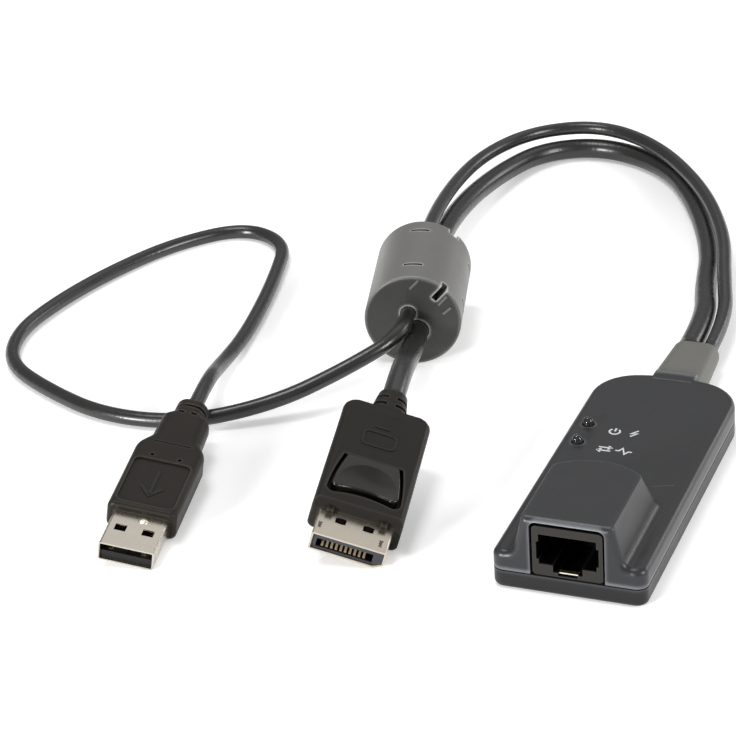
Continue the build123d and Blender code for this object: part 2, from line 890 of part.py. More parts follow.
def make_usb_core():
    start = usb_shell_length
    return beam(usb_core_width, usb_core_height, usb_core_corner, start, start + usb_core_length)


def make_usb_cover():
    """The moulded body of the USB plug, from its face to the end of its tail."""
    z = usb_body_mid_z
    body = beam(usb_body_width, usb_body_height, usb_body_corner, usb_shell_exposed, usb_body_end, z)
    face_edges = body.faces().sort_by(Axis.Y)[0].edges()
    body = fillet(face_edges, usb_front_edge_radius)
    span = usb_shoulder_end - usb_body_end
    sections = [section(usb_body_width, usb_body_height, usb_body_corner, usb_body_end, z)]
    for share in (0.3, 0.55, 0.8, 1.0):
        ease = 0.5 - 0.5 * math.cos(math.pi * share)
        width = usb_body_width + (usb_neck_width - usb_body_width) * ease
        height = usb_body_height + (usb_neck_height - usb_body_height) * ease
        corner = usb_body_corner + (usb_neck_corner - usb_body_corner) * ease
        sections.append(section(width, height, corner, usb_body_end + share * span, z))
    shoulder = loft(sections)
    neck_sections = [sections[-1]]
    neck_end_width = usb_neck_width - usb_neck_narrowing
    neck_sections.append(section(neck_end_width, usb_neck_height, usb_neck_corner, usb_neck_end, z))
    neck = loft(neck_sections, ruled=True)
    taper = loft(
        [neck_sections[-1], section(usb_tail_width, usb_tail_height, usb_tail_corner, usb_tail_start, z)],
        ruled=True,
    )
    tail = beam(usb_tail_width, usb_tail_height, usb_tail_corner, usb_tail_start, usb_tail_end, z)
    cover = body + shoulder + neck + taper + tail
    top = z + usb_body_height / 2
    panel = RectangleRounded(usb_panel_width, usb_panel_end - usb_panel_start, usb_panel_corner)
    panel_y = (usb_panel_start + usb_panel_end) / 2
    cover -= extrude(Pos(0, panel_y, top - usb_panel_depth) * panel, usb_panel_depth + 1)
    for x, y in usb_pip_places:
        cover -= rod(usb_pip_radius, top - usb_pip_depth, top + 1, x, y)
    groove_y = (usb_groove_y - usb_groove_width / 2, usb_groove_y + usb_groove_width / 2)
    ring = block((-far, far), groove_y, (-far, far))
    keep = beam(
        usb_tail_width - 2 * usb_groove_depth,
        usb_tail_height - 2 * usb_groove_depth,
        usb_tail_corner - usb_groove_depth,
        groove_y[0] - 1,
        groove_y[1] + 1,
        z,
    )
    cover -= ring - keep
    line_y = (usb_line_y - usb_line_width / 2, usb_line_y + usb_line_width / 2)
    cover -= block((-usb_line_length / 2, usb_line_length / 2), line_y, (top - usb_line_depth, top + 1))
    tail_top = z + usb_tail_height / 2
    for side in (-1, 1):
        eye_x = (side * usb_eye_x - usb_eye_width / 2, side * usb_eye_x + usb_eye_width / 2)
        eye_y = (usb_eye_y - usb_eye_length / 2, usb_eye_y + usb_eye_length / 2)
        cover -= block(eye_x, eye_y, (tail_top - usb_eye_depth, tail_top + 1))
    cover -= beam(usb_shell_width, usb_shell_height, usb_shell_corner, 0, usb_shell_length)
    core_end = usb_shell_length + usb_core_length
    cover -= beam(usb_core_width, usb_core_height, usb_core_corner, usb_shell_length - 1, core_end)
    return cover


def video_shell_profile(inset, y):
    """The video plug's shell: a rectangle with one lower corner cut off."""
    half_width = video_shell_width / 2 - inset
    half_height = video_shell_height / 2 - inset
    cut = video_shell_cut - video_shell_cut_slope * inset
    corner = (half_width, -half_height + cut * video_shell_cut_slope)
    face = make_face(
        Polyline(
            (-half_width, half_height),
            (half_width, half_height),
            corner,
            (half_width - cut, -half_height),
            (-half_width, -half_height),
            (-half_width, half_height),
        )
    )
    face = fillet(face.vertices(), max(video_shell_corner - inset, least_corner))
    return Plane(origin=(0, y, 0), x_dir=(-1, 0, 0), z_dir=(0, 1, 0)) * mirror(face, about=Plane.YZ)


def video_shell_prism(inset, y_low, y_high):
    return extrude(video_shell_profile(inset, y_low), y_high - y_low)


def window_span(side):
    x = side * video_window_x
    return (x - video_window_width / 2, x + video_window_width / 2)


def make_video_shell():
    shell = video_shell_prism(0, 0, video_shell_length)
    shell -= video_shell_prism(video_shell_wall, -1, video_shell_length + 1)
    y_span = (video_window_y - video_window_length / 2, video_window_y + video_window_length / 2)
    for side in (-1, 1):
        shell -= block(window_span(side), y_span, (0, far))
    return shell


def latch_arm_span(side, clearance):
    x = side * video_window_x
    half_width = latch_arm_width / 2 + clearance
    return (x - half_width, x + half_width)


def make_video_insert():
    """Black carrier inside the shell, with a slot for the socket's tongue and two latch grooves."""
    insert = video_shell_prism(video_shell_wall, video_insert_start, video_shell_length)
    slot_x = (video_slot_x - video_slot_width / 2, video_slot_x + video_slot_width / 2)
    insert -= block(slot_x, (0, video_slot_depth), (video_slot_low, video_slot_high))
    for side in (-1, 1):
        x_span = latch_arm_span(side, latch_groove_clearance)
        y_low = latch_arm_front - latch_groove_clearance
        insert -= block(x_span, (y_low, far), (latch_groove_floor, far))
    return insert


def make_video_contacts():
    """Two rows of sprung gold strips on the roof and floor of the slot, half a pitch apart."""
    half = video_contact_thickness / 2
    rear = video_slot_depth
    crest = video_contact_start + video_contact_crest
    strips = []
    for level, rise, shift in (
        (video_slot_high - half, -video_contact_rise, video_contact_shift),
        (video_slot_low + half, video_contact_rise, -video_contact_shift),
    ):
        path = Polyline((video_contact_start, level), (crest, level + rise), (rear - half, level))
        strip = trace(path, video_contact_thickness)
        profile = Plane(origin=(0, 0, 0), x_dir=(0, 1, 0), z_dir=(1, 0, 0)) * strip
        blade = extrude(profile, video_contact_width / 2, both=True)
        blade &= block((-far, far), (0, rear), (-far, far))
        for index in range(video_contact_count):
            x = video_slot_x + (index - (video_contact_count - 1) / 2 + shift) * video_contact_pitch
            strips.append((Pos(x, 0, 0) * blade).solid())
    return Compound(strips)


def make_video_board():
    half_width = video_board_width / 2
    y_span = (video_shell_length, video_shell_length + video_board_length)
    z_span = (video_board_low, video_board_low + video_board_thickness)
    return block((-half_width, half_width), y_span, z_span)


def make_latch():
    """Sprung steel latch: two arms with hooks in the shell's windows, joined by a bar at the rear."""
    z_span = (latch_arm_low, latch_arm_low + latch_arm_thickness)
    latch = None
    for side in (-1, 1):
        x_span = latch_arm_span(side, 0)
        arm = block(x_span, (latch_arm_front, latch_arm_end), z_span)
        hook_y = (video_window_y - latch_hook_length / 2, video_window_y + latch_hook_length / 2)
        arm += block(x_span, hook_y, (latch_arm_low, latch_hook_top))
        latch = arm if latch is None else latch + arm
    bar_x = (latch_arm_span(-1, 0)[0], latch_arm_span(1, 0)[1])
    return latch + block(bar_x, (latch_arm_end - latch_bar_length, latch_arm_end), z_span)


def pocket_plan(shrink_side, front, rear, bow, corner):
    """The button's plan: wide at the front with a hollow front edge, narrower at its hinge."""
    front_half = pocket_front_half_width - shrink_side
    rear_half = pocket_rear_half_width - shrink_side
    middle_half = (front_half + rear_half) / 2 + pocket_side_bow
    middle_y = (front + rear) / 2
    edges = ThreePointArc((-front_half, front), (0, front + bow), (front_half, front))
    edges += ThreePointArc((front_half, front), (middle_half, middle_y), (rear_half, rear))
    edges += Line((rear_half, rear), (-rear_half, rear))
    edges += ThreePointArc((-rear_half, rear), (-middle_half, middle_y), (-front_half, front))
    face = make_face(edges)
    return fillet(face.vertices().sort_by(Axis.Y)[:2], corner)


def make_video_cover():
    """The moulded body of the video plug, with a pocket for its button."""
    z = video_body_mid_z
    top = z + video_body_height / 2
    low = z - video_body_height / 2
    body = beam(video_body_width, video_body_height, video_body_corner, video_body_start, video_body_end, z)
    nose = Polyline(
        (video_body_start - 1, video_nose_low),
        (video_body_start, video_nose_low),
        (video_body_start + video_nose_length, top),
        (video_body_start + video_nose_length, top + 1),
        (video_body_start - 1, top + 1),
        (video_body_start - 1, video_nose_low),
    )
    nose_face = Plane(origin=(0, 0, 0), x_dir=(0, 1, 0), z_dir=(1, 0, 0)) * make_face(nose)
    body -= extrude(nose_face, far, both=True)
    span = video_shoulder_end - video_body_end
    sections = [section(video_body_width, video_body_height, video_body_corner, video_body_end, z)]
    for share in (0.35, 0.65, 0.85, 1.0):
        drop = 1 - math.sqrt(1 - share**2)
        width = video_body_width - 2 * span * drop
        height = video_body_height - span * video_shoulder_flatness * drop
        sections.append(section(width, height, video_body_corner, video_body_end + share * span, z))
    shoulder = loft(sections, ruled=True)
    neck_start = section(
        video_neck_width,
        video_neck_height,
        video_neck_corner,
        video_shoulder_end - video_neck_overlap,
        z,
    )
    neck_end = section(video_tail_width, video_tail_height, video_neck_corner, video_tail_end, z)
    neck = loft([neck_start, neck_end], ruled=True)
    for y in video_rib_places:
        y_span = (y - video_rib_slot / 2, y + video_rib_slot / 2)
        ring = block((-far, far), y_span, (low, far))
        keep_width = video_tail_width - 2 * video_rib_depth
        keep_height = video_tail_height - 2 * video_rib_depth
        keep = beam(keep_width, keep_height, video_neck_corner - video_rib_depth, y - 1, y + 1, z)
        spine = block((-video_rib_spine_width / 2, video_rib_spine_width / 2), y_span, (-far, far))
        neck -= ring - keep - spine
    cover = body + shoulder + neck
    tab_low = video_shell_height / 2
    for side in (-1, 1):
        tab_middle = side * video_nose_tab_x
        tab_x = (tab_middle - video_nose_tab_width / 2, tab_middle + video_nose_tab_width / 2)
        tab_y = (video_body_start - video_nose_tab_length, video_body_start + video_nose_length)
        cover += block(tab_x, tab_y, (tab_low, tab_low + video_nose_tab_height))
    pocket = pocket_plan(0, pocket_front, pocket_rear, pocket_front_bow, pocket_corner_radius)
    cover -= extrude(Pos(0, 0, pocket_floor) * pocket, far)
    cover -= video_shell_prism(0, 0, video_shell_length)
    half_cavity = video_cavity_width / 2
    cavity_y = (video_shell_length, video_cavity_end)
    cover -= block((-half_cavity, half_cavity), cavity_y, (video_cavity_low, video_cavity_high))
    cover += block(
        (-video_board_width / 2, video_board_width / 2),
        (video_shell_length + video_board_length / 2, video_cavity_end),
        (video_cavity_low, video_board_low),
    )
    seat_x = (latch_arm_span(-1, 0)[1], latch_arm_span(1, 0)[0])
    seat_y = (latch_arm_end - latch_bar_length, video_cavity_end)
    cover += block(seat_x, seat_y, (video_cavity_low, latch_arm_low - latch_seat_gap))
    window_half = button_post_width / 2 + button_post_clearance
    window_y = (button_post_front - button_post_clearance, button_post_rear + button_post_clearance)
    cover -= block((-window_half, window_half), window_y, (video_cavity_high - 1, pocket_floor + 1))
    return cover


def make_button():
    """The thumb button: a dished pad, flush at its hinge, with a post that bears on the latch."""
    front = pocket_front + button_front_gap
    rear = pocket_rear - button_rear_gap
    high = video_body_mid_z + video_body_height / 2
    plan = pocket_plan(button_side_gap, front, rear, button_front_bow, button_corner_radius)
    pad = extrude(Pos(0, 0, button_low) * plan, high - button_low)
    reach = button_dish_width / 2
    dish_radius = (reach**2 + button_dish_depth**2) / (2 * button_dish_depth)
    pad -= Pos(0, button_dish_y, high - button_dish_depth + dish_radius) * Sphere(dish_radius)
    edges = []
    for edge in pad.edges():
        place = edge.center()
        if place.Z > high - button_dish_depth - near_zero and place.Y < rear - near_zero:
            edges.append(edge)
    pad = fillet(edges, button_edge_radius)
    half_width = button_post_width / 2
    post_y = (button_post_front, button_post_rear)
    post_low = latch_arm_low + latch_arm_thickness + button_post_gap
    return pad + block((-half_width, half_width), post_y, (post_low, button_low + button_edge_radius))


def save(name, shape):
    shape.label = name
    export_step(shape, f"parts/{name}.step")


def main():
    os.makedirs("parts", exist_ok=True)
    save("lower_shell", make_lower_shell())
    save("upper_shell", make_upper_shell())
    save("circuit_board", make_board())
    save("network_jack", make_jack())
    save("network_jack_pins", make_jack_pins())
    save("network_jack_tab", make_jack_tab())
    save("main_chip", chip(main_chip_place, main_chip_size, main_chip_size, main_chip_height))
    memory_place = (memory_chip_x, memory_chip_y)
    save("memory_chip", chip(memory_place, memory_chip_width, memory_chip_length, memory_chip_height))
    save("clock_crystal", chip((crystal_x, crystal_y), crystal_length, crystal_width, crystal_height))
    capacitor_top = board_top_z + capacitor_height
    capacitors = []
    for x, y in capacitor_places:
        capacitors.append(rod(capacitor_radius, board_top_z, capacitor_top, x, y).solid())
    save("capacitors", Compound(capacitors))
    save("usb_header", make_header(usb_header_x, usb_header_width))
    save("video_header", make_header(video_header_x, video_header_width))
    save("usb_leads", make_leads(usb_header_x, usb_lead_count))
    save("video_leads", make_leads(video_header_x, video_lead_count))
    save("power_lamp", make_lamp(power_lamp_y))
    save("active_lamp", make_lamp(active_lamp_y))
    save("power_lamp_chip", make_lamp_chip(power_lamp_y))
    save("active_lamp_chip", make_lamp_chip(active_lamp_y))
    save("case_screws", make_screws())
    save("cable_boot", make_boot())
    save("usb_cable", tube(usb_route(), usb_cable_diameter, "usb cable"))
    save("video_cable", tube(video_route(), video_cable_diameter, "video cable"))
    save("ferrite_sleeve", ferrite_frame * make_ferrite_sleeve())
    save("ferrite_core", ferrite_frame * ferrite_core_shape())
    save("usb_plug_shell", usb_frame * make_usb_shell())
    save("usb_plug_tongue", usb_frame * make_usb_tongue())
    save("usb_plug_contacts", usb_frame * make_usb_contacts())
    save("usb_plug_core", usb_frame * make_usb_core())
    save("usb_plug_cover", usb_frame * make_usb_cover())
    save("video_plug_shell", video_frame * make_video_shell())
    save("video_plug_insert", video_frame * make_video_insert())
    save("video_plug_contacts", video_frame * make_video_contacts())
    save("video_plug_board", video_frame * make_video_board())
    save("video_plug_latch", video_frame * make_latch())
    save("video_plug_cover", video_frame * make_video_cover())
    save("video_plug_button", video_frame * make_button())


main()
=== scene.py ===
import math

import bpy
import numpy as np
from mathutils import Matrix


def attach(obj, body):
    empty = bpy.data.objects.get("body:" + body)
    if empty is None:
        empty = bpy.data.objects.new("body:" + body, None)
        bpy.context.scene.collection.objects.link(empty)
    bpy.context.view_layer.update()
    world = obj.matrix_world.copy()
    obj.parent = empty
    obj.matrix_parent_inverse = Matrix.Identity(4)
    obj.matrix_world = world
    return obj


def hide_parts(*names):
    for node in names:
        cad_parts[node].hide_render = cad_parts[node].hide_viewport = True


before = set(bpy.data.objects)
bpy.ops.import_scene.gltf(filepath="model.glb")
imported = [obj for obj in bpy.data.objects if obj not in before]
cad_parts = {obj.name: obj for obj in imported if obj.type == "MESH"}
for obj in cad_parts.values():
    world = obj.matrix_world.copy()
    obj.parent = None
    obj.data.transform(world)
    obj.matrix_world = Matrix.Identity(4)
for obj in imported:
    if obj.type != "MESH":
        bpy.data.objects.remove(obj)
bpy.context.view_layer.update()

print("stage: frame loaded,", len(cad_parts), "nodes")

# camera, at the photograph's viewing angle
cameraSettings = {
    "place": (0.14481, -0.48826, 0.29976),
    "azimuth": 22.911,      # degrees, 0 looks along +Y
    "elevation": 27.984,    # degrees above the horizon
    "tilt": -3.982,         # degrees about the line of sight
    "lens": 132.49,
    "sensor": 36.0,
    "near": 0.01,
    "far": 20.0,
}


def makeCamera(s):
    a, e, t = (math.radians(s[k]) for k in ("azimuth", "elevation", "tilt"))
    forward = np.array([-math.sin(a) * math.cos(e), math.cos(a) * math.cos(e), -math.sin(e)])
    level = np.array([math.cos(a), math.sin(a), 0.0])
    down = np.cross(forward, level)
    right = math.cos(t) * level - math.sin(t) * down
    below = math.sin(t) * level + math.cos(t) * down
    data = bpy.data.cameras.new("studioCamera")
    data.lens = s["lens"]
    data.sensor_width = s["sensor"]
    data.clip_start, data.clip_end = s["near"], s["far"]
    camera = bpy.data.objects.new("studioCamera", data)
    camera.matrix_world = axesMatrix(right, -below, -forward, s["place"])
    bpy.context.scene.collection.objects.link(camera)
    bpy.context.scene.camera = camera


def axesMatrix(x, y, z, place):
    matrix = np.identity(4)
    matrix[:3, :4] = np.column_stack((x, y, z, place))
    return Matrix(matrix.tolist())


makeCamera(cameraSettings)
print("stage: camera set")


# Points on a curved sheet are a function of two parameters, kept as an array of rows by columns. Neighbours
# on the grid make one four-sided face, and a round direction joins its last column to its first.
def gridFaces(rows, columns, roundRows=False, roundColumns=True):
    index = np.arange(rows * columns).reshape(rows, columns)
    if roundRows:
        index = np.vstack((index, index[:1]))
    if roundColumns:
        index = np.hstack((index, index[:, :1]))
    return np.stack((index[:-1, :-1], index[:-1, 1:], index[1:, 1:], index[1:, :-1]), axis=-1).reshape(-1, 4)


def makePiece(name, parts, smooth=True):
    vertices, faces, start = [], [], 0
    for points, polygons in parts:
        vertices.append(points)
        faces += [[corner + start for corner in polygon] for polygon in polygons]
        start += len(points)
    data = bpy.data.meshes.new(name)
    data.from_pydata(np.vstack(vertices).tolist(), [], faces)
    data.polygons.foreach_set("use_smooth", [smooth] * len(data.polygons))
    data.update()
    piece = bpy.data.objects.new(name, data)
    bpy.context.scene.collection.objects.link(piece)
    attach(piece, "adapter")
    return piece


# cables
usbCable = {
    "width": 0.0035,
    "length": 0.605,
    "smoothness": 16,       # stations between two points of the route
    "sides": 24,
    "points": [
        (0.0026, 0.0505, 0.0048), (0.0026, 0.067, 0.0048), (-0.003, 0.0865, 0.0062),
        (-0.0082, 0.107, 0.0073), (-0.0202, 0.1321, 0.0076), (-0.0383, 0.155, 0.0078),
        (-0.0568, 0.1648, 0.0079), (-0.0734, 0.1577, 0.0078), (-0.0818, 0.1394, 0.0084),
        (-0.0822, 0.1121, 0.0105), (-0.07691, 0.07858, 0.0133), (-0.06838, 0.04629, 0.0133),
        (-0.06296, 0.0258, 0.0133), (-0.0732, 0.0136, 0.009), (-0.0865, 0.0024, 0.0043),
        (-0.1046, -0.0072, 0.0018), (-0.1245, -0.0087, 0.0018), (-0.1435, -0.0006, 0.0018),
        (-0.1582, 0.0088, 0.0018), (-0.1638, 0.024, 0.0018), (-0.1619, 0.0405, 0.0018),
        (-0.1566, 0.059, 0.0018), (-0.1473, 0.079, 0.0018), (-0.133, 0.093, 0.0018),
        (-0.1186, 0.0868, 0.0018), (-0.114, 0.0687, 0.0018), (-0.1104, 0.05, 0.0018),
        (-0.1082, 0.0335, 0.0018), (-0.1066, 0.0175, 0.0036), (-0.1022, 0.00147, 0.00876),
        (-0.10018, -0.01133, 0.00783),
    ],
}

videoCable = {
    "width": 0.0052,
    "length": 0.311,
    "smoothness": 16,
    "sides": 28,
    "points": [
        (-0.0024, 0.0505, 0.0044), (-0.0024, 0.067, 0.0044), (-0.0075, 0.0855, 0.0029),
        (-0.0114, 0.1064, 0.00265), (-0.0224, 0.1334, 0.00265), (-0.0352, 0.1536, 0.00265),
        (-0.0552, 0.163, 0.0027), (-0.071, 0.1558, 0.0029), (-0.0774, 0.1376, 0.0037),
        (-0.0792, 0.11, 0.0062), (-0.07497, 0.07909, 0.0088), (-0.06501, 0.04139, 0.0088),
        (-0.06264, 0.0324, 0.0088), (-0.0597, 0.0198, 0.011), (-0.05645, 0.00692, 0.01449),
        (-0.05468, -0.00381, 0.01284),
    ],
}


# the route's points are the control points of one NURBS curve, and the cable follows the line it draws
def routeLine(name, s):
    data = bpy.data.curves.new(name, "CURVE")
    data.dimensions = "3D"
    data.resolution_u = s["smoothness"]
    spline = data.splines.new("NURBS")
    spline.points.add(len(s["points"]) - 1)
    for point, place in zip(spline.points, s["points"]):
        point.co = (*place, 1.0)
    spline.order_u = 3
    spline.use_endpoint_u = True
    guide = bpy.data.objects.new(name, data)
    drawn = bpy.data.meshes.new_from_object(guide)
    line = np.empty(len(drawn.vertices) * 3)
    drawn.vertices.foreach_get("co", line)
    bpy.data.objects.remove(guide)
    bpy.data.curves.remove(data)
    bpy.data.meshes.remove(drawn)
    return line.reshape(-1, 3)


# A cable: place(t, a) = line(t) + radius * (cos a * side(t) + sin a * rise(t)), with side and rise square to
# the line. The attribute cordPlace holds the length from the boot and the turn a as a point on a circle.
def makeCable(name, s):
    line = routeLine(name + "Route", s)
    reach = np.concatenate(([0.0], np.cumsum(np.linalg.norm(np.diff(line, axis=0), axis=1))))
    heading = np.gradient(line, reach, axis=0)
    heading /= np.linalg.norm(heading, axis=1)[:, None]
    side = np.cross(heading, (0.0, 0.0, 1.0))
    side /= np.linalg.norm(side, axis=1)[:, None]
    rise = np.cross(side, heading)
    angle = np.linspace(0.0, 2 * math.pi, s["sides"], endpoint=False)
    across = np.cos(angle)[None, :, None] * side[:, None, :] + np.sin(angle)[None, :, None] * rise[:, None, :]
    points = (line[:, None, :] + s["width"] / 2 * across).reshape(-1, 3)
    sides, stations = s["sides"], len(line)
    faces = gridFaces(stations, sides).tolist()
    faces += [list(range(sides)), list(range(stations * sides - 1, (stations - 1) * sides - 1, -1))]
    cable = makePiece(name, [(points, faces)])
    place = np.empty((stations, sides, 3))
    place[:, :, 0] = reach[:, None]
    place[:, :, 1] = s["width"] / 2 * np.cos(angle)
    place[:, :, 2] = s["width"] / 2 * np.sin(angle)
    kept = cable.data.attributes.new("cordPlace", "FLOAT_VECTOR", "POINT")
    kept.data.foreach_set("vector", place.ravel())
    return cable, line


usbCord, usbLine = makeCable("usbCord", usbCable)
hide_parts("usb_cable")
videoCord, videoLine = makeCable("videoCord", videoCable)
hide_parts("video_cable")
print("stage: cables laid")


# each plug's own frame in millimetres, as the CAD part turns it: x across, y from mouth to tail, z up
millimetresInMetre = 1000
turnedFrames = {
    "case": {"place": (0.0, 0.0, 0.0), "turn": 0.0, "pitch": 0.0, "roll": 0.0},
    "usb": {"place": (-91.8, -65.0, 3.3), "turn": 9.0, "pitch": 4.1, "roll": 10.9},
    "video": {"place": (-46.9, -52.5, 4.52), "turn": 9.4, "pitch": 8.6, "roll": 18.2},
    "ferrite": {"place": (-64.7, 36.3, 11.4), "turn": 14.8, "pitch": 0.0, "roll": 0.0},
}


def inWorld(name, points):
    s = turnedFrames[name]
    (turnCos, turnSin), (pitchCos, pitchSin), (rollCos, rollSin) = (
        (math.cos(math.radians(s[k])), math.sin(math.radians(s[k]))) for k in ("turn", "pitch", "roll"))
    aboutZ = np.array([[turnCos, -turnSin, 0], [turnSin, turnCos, 0], [0, 0, 1]])
    aboutX = np.array([[1, 0, 0], [0, pitchCos, -pitchSin], [0, pitchSin, pitchCos]])
    aboutY = np.array([[rollCos, 0, rollSin], [0, 1, 0], [-rollSin, 0, rollCos]])
    return (points @ (aboutZ @ aboutX @ aboutY).T + np.array(s["place"])) / millimetresInMetre


# shared surface effects
def makeGroup(name, inputs, outputs):
    group = bpy.data.node_groups.new(name, "ShaderNodeTree")
    for label, kind, value in inputs:
        socket = group.interface.new_socket(label, in_out="INPUT", socket_type=kind)
        socket.default_value = value
    for label, kind in outputs:
        group.interface.new_socket(label, in_out="OUTPUT", socket_type=kind)
    return group, group.nodes.new("NodeGroupInput"), group.nodes.new("NodeGroupOutput")


def give(tree, value, socket):
    if isinstance(value, bpy.types.NodeSocket):
        tree.links.new(value, socket)
    else:
        socket.default_value = value


def mathNode(tree, operation, *values, clamp=False):
    node = tree.nodes.new("ShaderNodeMath")
    node.operation = operation
    node.use_clamp = clamp
    for socket, value in zip(node.inputs, values):
        give(tree, value, socket)
    return node.outputs[0]


def product(tree, first, second):
    return mathNode(tree, "MULTIPLY", first, second)


def centred(tree, value):
    return mathNode(tree, "SUBTRACT", value, 0.5)


def noiseNode(tree, vector, scale, detail):
    node = tree.nodes.new("ShaderNodeTexNoise")
    give(tree, vector, node.inputs["Vector"])
    give(tree, scale, node.inputs["Scale"])
    node.inputs["Detail"].default_value = detail
    return node.outputs["Fac"]


def stretched(tree, vector, scale, turn=(0.0, 0.0, 0.0)):
    node = tree.nodes.new("ShaderNodeMapping")
    give(tree, vector, node.inputs["Vector"])
    give(tree, turn, node.inputs["Rotation"])
    node.inputs["Scale"].default_value = scale
    return node.outputs["Vector"]


# 0 at the low value and 1 at the high one
def rangeNode(tree, value, low, high):
    node = tree.nodes.new("ShaderNodeMapRange")
    for label, given in (("Value", value), ("From Min", low), ("From Max", high)):
        give(tree, given, node.inputs[label])
    return node.outputs["Result"]


# a colour made lighter or darker by a swing about nothing: colour * (1 + 2 * swing)
def tinted(tree, colour, swing):
    gain = mathNode(tree, "MULTIPLY_ADD", swing, 2.0, 1.0)
    node = tree.nodes.new("ShaderNodeVectorMath")
    node.operation = "SCALE"
    give(tree, colour, node.inputs[0])
    give(tree, gain, node.inputs["Scale"])
    return node.outputs["Vector"]


def bumpNode(tree, height, distance):
    node = tree.nodes.new("ShaderNodeBump")
    give(tree, height, node.inputs["Height"])
    give(tree, distance, node.inputs["Distance"])
    return node.outputs["Normal"]


# moulded skin: spark-eroded grain, slow changes of tone, and patches worn a little smoother
mouldedNoise = {
    "slow": (90.0, 3.0),        # scale and detail
    "rub": (160.0, 4.0),
    "fineDetail": 2.0,
    "slowShare": 0.6,
    "fineShare": 0.4,
}


def makeMouldedSkin(s):
    group, start, end = makeGroup(
        "mouldedSkin",
        [("Place", "NodeSocketVector", (0.0, 0.0, 0.0)), ("Colour", "NodeSocketColor", (0.1, 0.1, 0.1, 1.0)),
         ("Tone spread", "NodeSocketFloat", 0.1), ("Grain size", "NodeSocketFloat", 2500.0),
         ("Grain depth", "NodeSocketFloat", 0.00002), ("Roughness", "NodeSocketFloat", 0.5),
         ("Roughness spread", "NodeSocketFloat", 0.1)],
        [("Colour", "NodeSocketColor"), ("Roughness", "NodeSocketFloat"), ("Normal", "NodeSocketVector")],
    )
    place = start.outputs["Place"]
    fine = noiseNode(group, place, start.outputs["Grain size"], s["fineDetail"])
    slowPart = product(group, noiseNode(group, place, *s["slow"]), s["slowShare"])
    both = mathNode(group, "ADD", slowPart, product(group, fine, s["fineShare"]))
    swing = product(group, centred(group, both), start.outputs["Tone spread"])
    rub = centred(group, noiseNode(group, place, *s["rub"]))
    spread = product(group, rub, start.outputs["Roughness spread"])
    rough = mathNode(group, "ADD", spread, start.outputs["Roughness"])
    give(group, tinted(group, start.outputs["Colour"], swing), end.inputs["Colour"])
    give(group, rough, end.inputs["Roughness"])
    give(group, bumpNode(group, fine, start.outputs["Grain depth"]), end.inputs["Normal"])
    return group


# rolled metal: long faint streaks one way over clouded brightness
rolledNoise = {
    "streakStretch": (2400.0, 120.0, 2400.0),
    "streak": (1.0, 3.0),       # scale and detail
    "cloud": (220.0, 3.0),
    "streakShare": 0.5,
    "cloudShare": 0.5,
    "streakDepth": 0.0000015,
}


def makeRolledMetal(s):
    group, start, end = makeGroup(
        "rolledMetal",
        [("Place", "NodeSocketVector", (0.0, 0.0, 0.0)), ("Colour", "NodeSocketColor", (0.7, 0.7, 0.7, 1.0)),
         ("Turn", "NodeSocketVector", (0.0, 0.0, 0.0)), ("Roughness", "NodeSocketFloat", 0.3),
         ("Streaks", "NodeSocketFloat", 0.12)],
        [("Colour", "NodeSocketColor"), ("Roughness", "NodeSocketFloat"), ("Normal", "NodeSocketVector")],
    )
    place = start.outputs["Place"]
    drawn = stretched(group, place, s["streakStretch"], start.outputs["Turn"])
    streak = noiseNode(group, drawn, *s["streak"])
    cloudPart = product(group, noiseNode(group, place, *s["cloud"]), s["cloudShare"])
    both = mathNode(group, "ADD", product(group, streak, s["streakShare"]), cloudPart)
    swing = product(group, centred(group, both), start.outputs["Streaks"])
    give(group, tinted(group, start.outputs["Colour"], swing), end.inputs["Colour"])
    give(group, mathNode(group, "ADD", swing, start.outputs["Roughness"]), end.inputs["Roughness"])
    give(group, bumpNode(group, streak, s["streakDepth"]), end.inputs["Normal"])
    return group


# hair scratches: thin lines where a stretched noise crosses its middle, shown only in patches
scratchNoise = {
    "lineStretch": (160.0, 30.0, 160.0),
    "lineTurn": (0.0, 0.0, 0.6),
    "line": (1.0, 1.0),         # scale and detail
    "patch": (130.0, 2.0),
    "patchRange": (0.6, 0.68),  # where a patch starts and where it is whole
}


def makeHairScratches(s):
    group, start, end = makeGroup(
        "hairScratches",
        [("Place", "NodeSocketVector", (0.0, 0.0, 0.0)), ("Thinness", "NodeSocketFloat", 0.004)],
        [("Mask", "NodeSocketFloat")],
    )
    place = start.outputs["Place"]
    lines = noiseNode(group, stretched(group, place, s["lineStretch"], s["lineTurn"]), *s["line"])
    away = mathNode(group, "ABSOLUTE", centred(group, lines))
    share = mathNode(group, "DIVIDE", away, start.outputs["Thinness"])
    line = mathNode(group, "SUBTRACT", 1.0, share, clamp=True)
    patch = rangeNode(group, noiseNode(group, place, *s["patch"]), *s["patchRange"])
    give(group, product(group, line, patch), end.inputs["Mask"])
    return group


# edge rub and corner shade: an outer edge has little material behind it and is painted lighter, partly as
# wear and partly as a painted highlight; an inner corner has little sky before it and is painted darker as
# painted shade
edgeLook = {
    "samples": 6,
    "closedRange": (0.1, 0.7),  # how shut in a point is where the mask starts and where it is whole
}


def makeEdgeWearHighlightAndCornerShade(s):
    group, start, end = makeGroup(
        "edgeWearHighlightAndCornerShade",
        [("Edge reach", "NodeSocketFloat", 0.0004), ("Corner reach", "NodeSocketFloat", 0.0004)],
        [("Edge", "NodeSocketFloat"), ("Corner", "NodeSocketFloat")],
    )
    for inside, label in ((True, "Edge"), (False, "Corner")):
        node = group.nodes.new("ShaderNodeAmbientOcclusion")
        node.samples = s["samples"]
        node.inside = inside
        node.only_local = True
        give(group, start.outputs[label + " reach"], node.inputs["Distance"])
        closed = mathNode(group, "SUBTRACT", 1.0, node.outputs["AO"])
        give(group, rangeNode(group, closed, *s["closedRange"]), end.inputs[label])
    return group


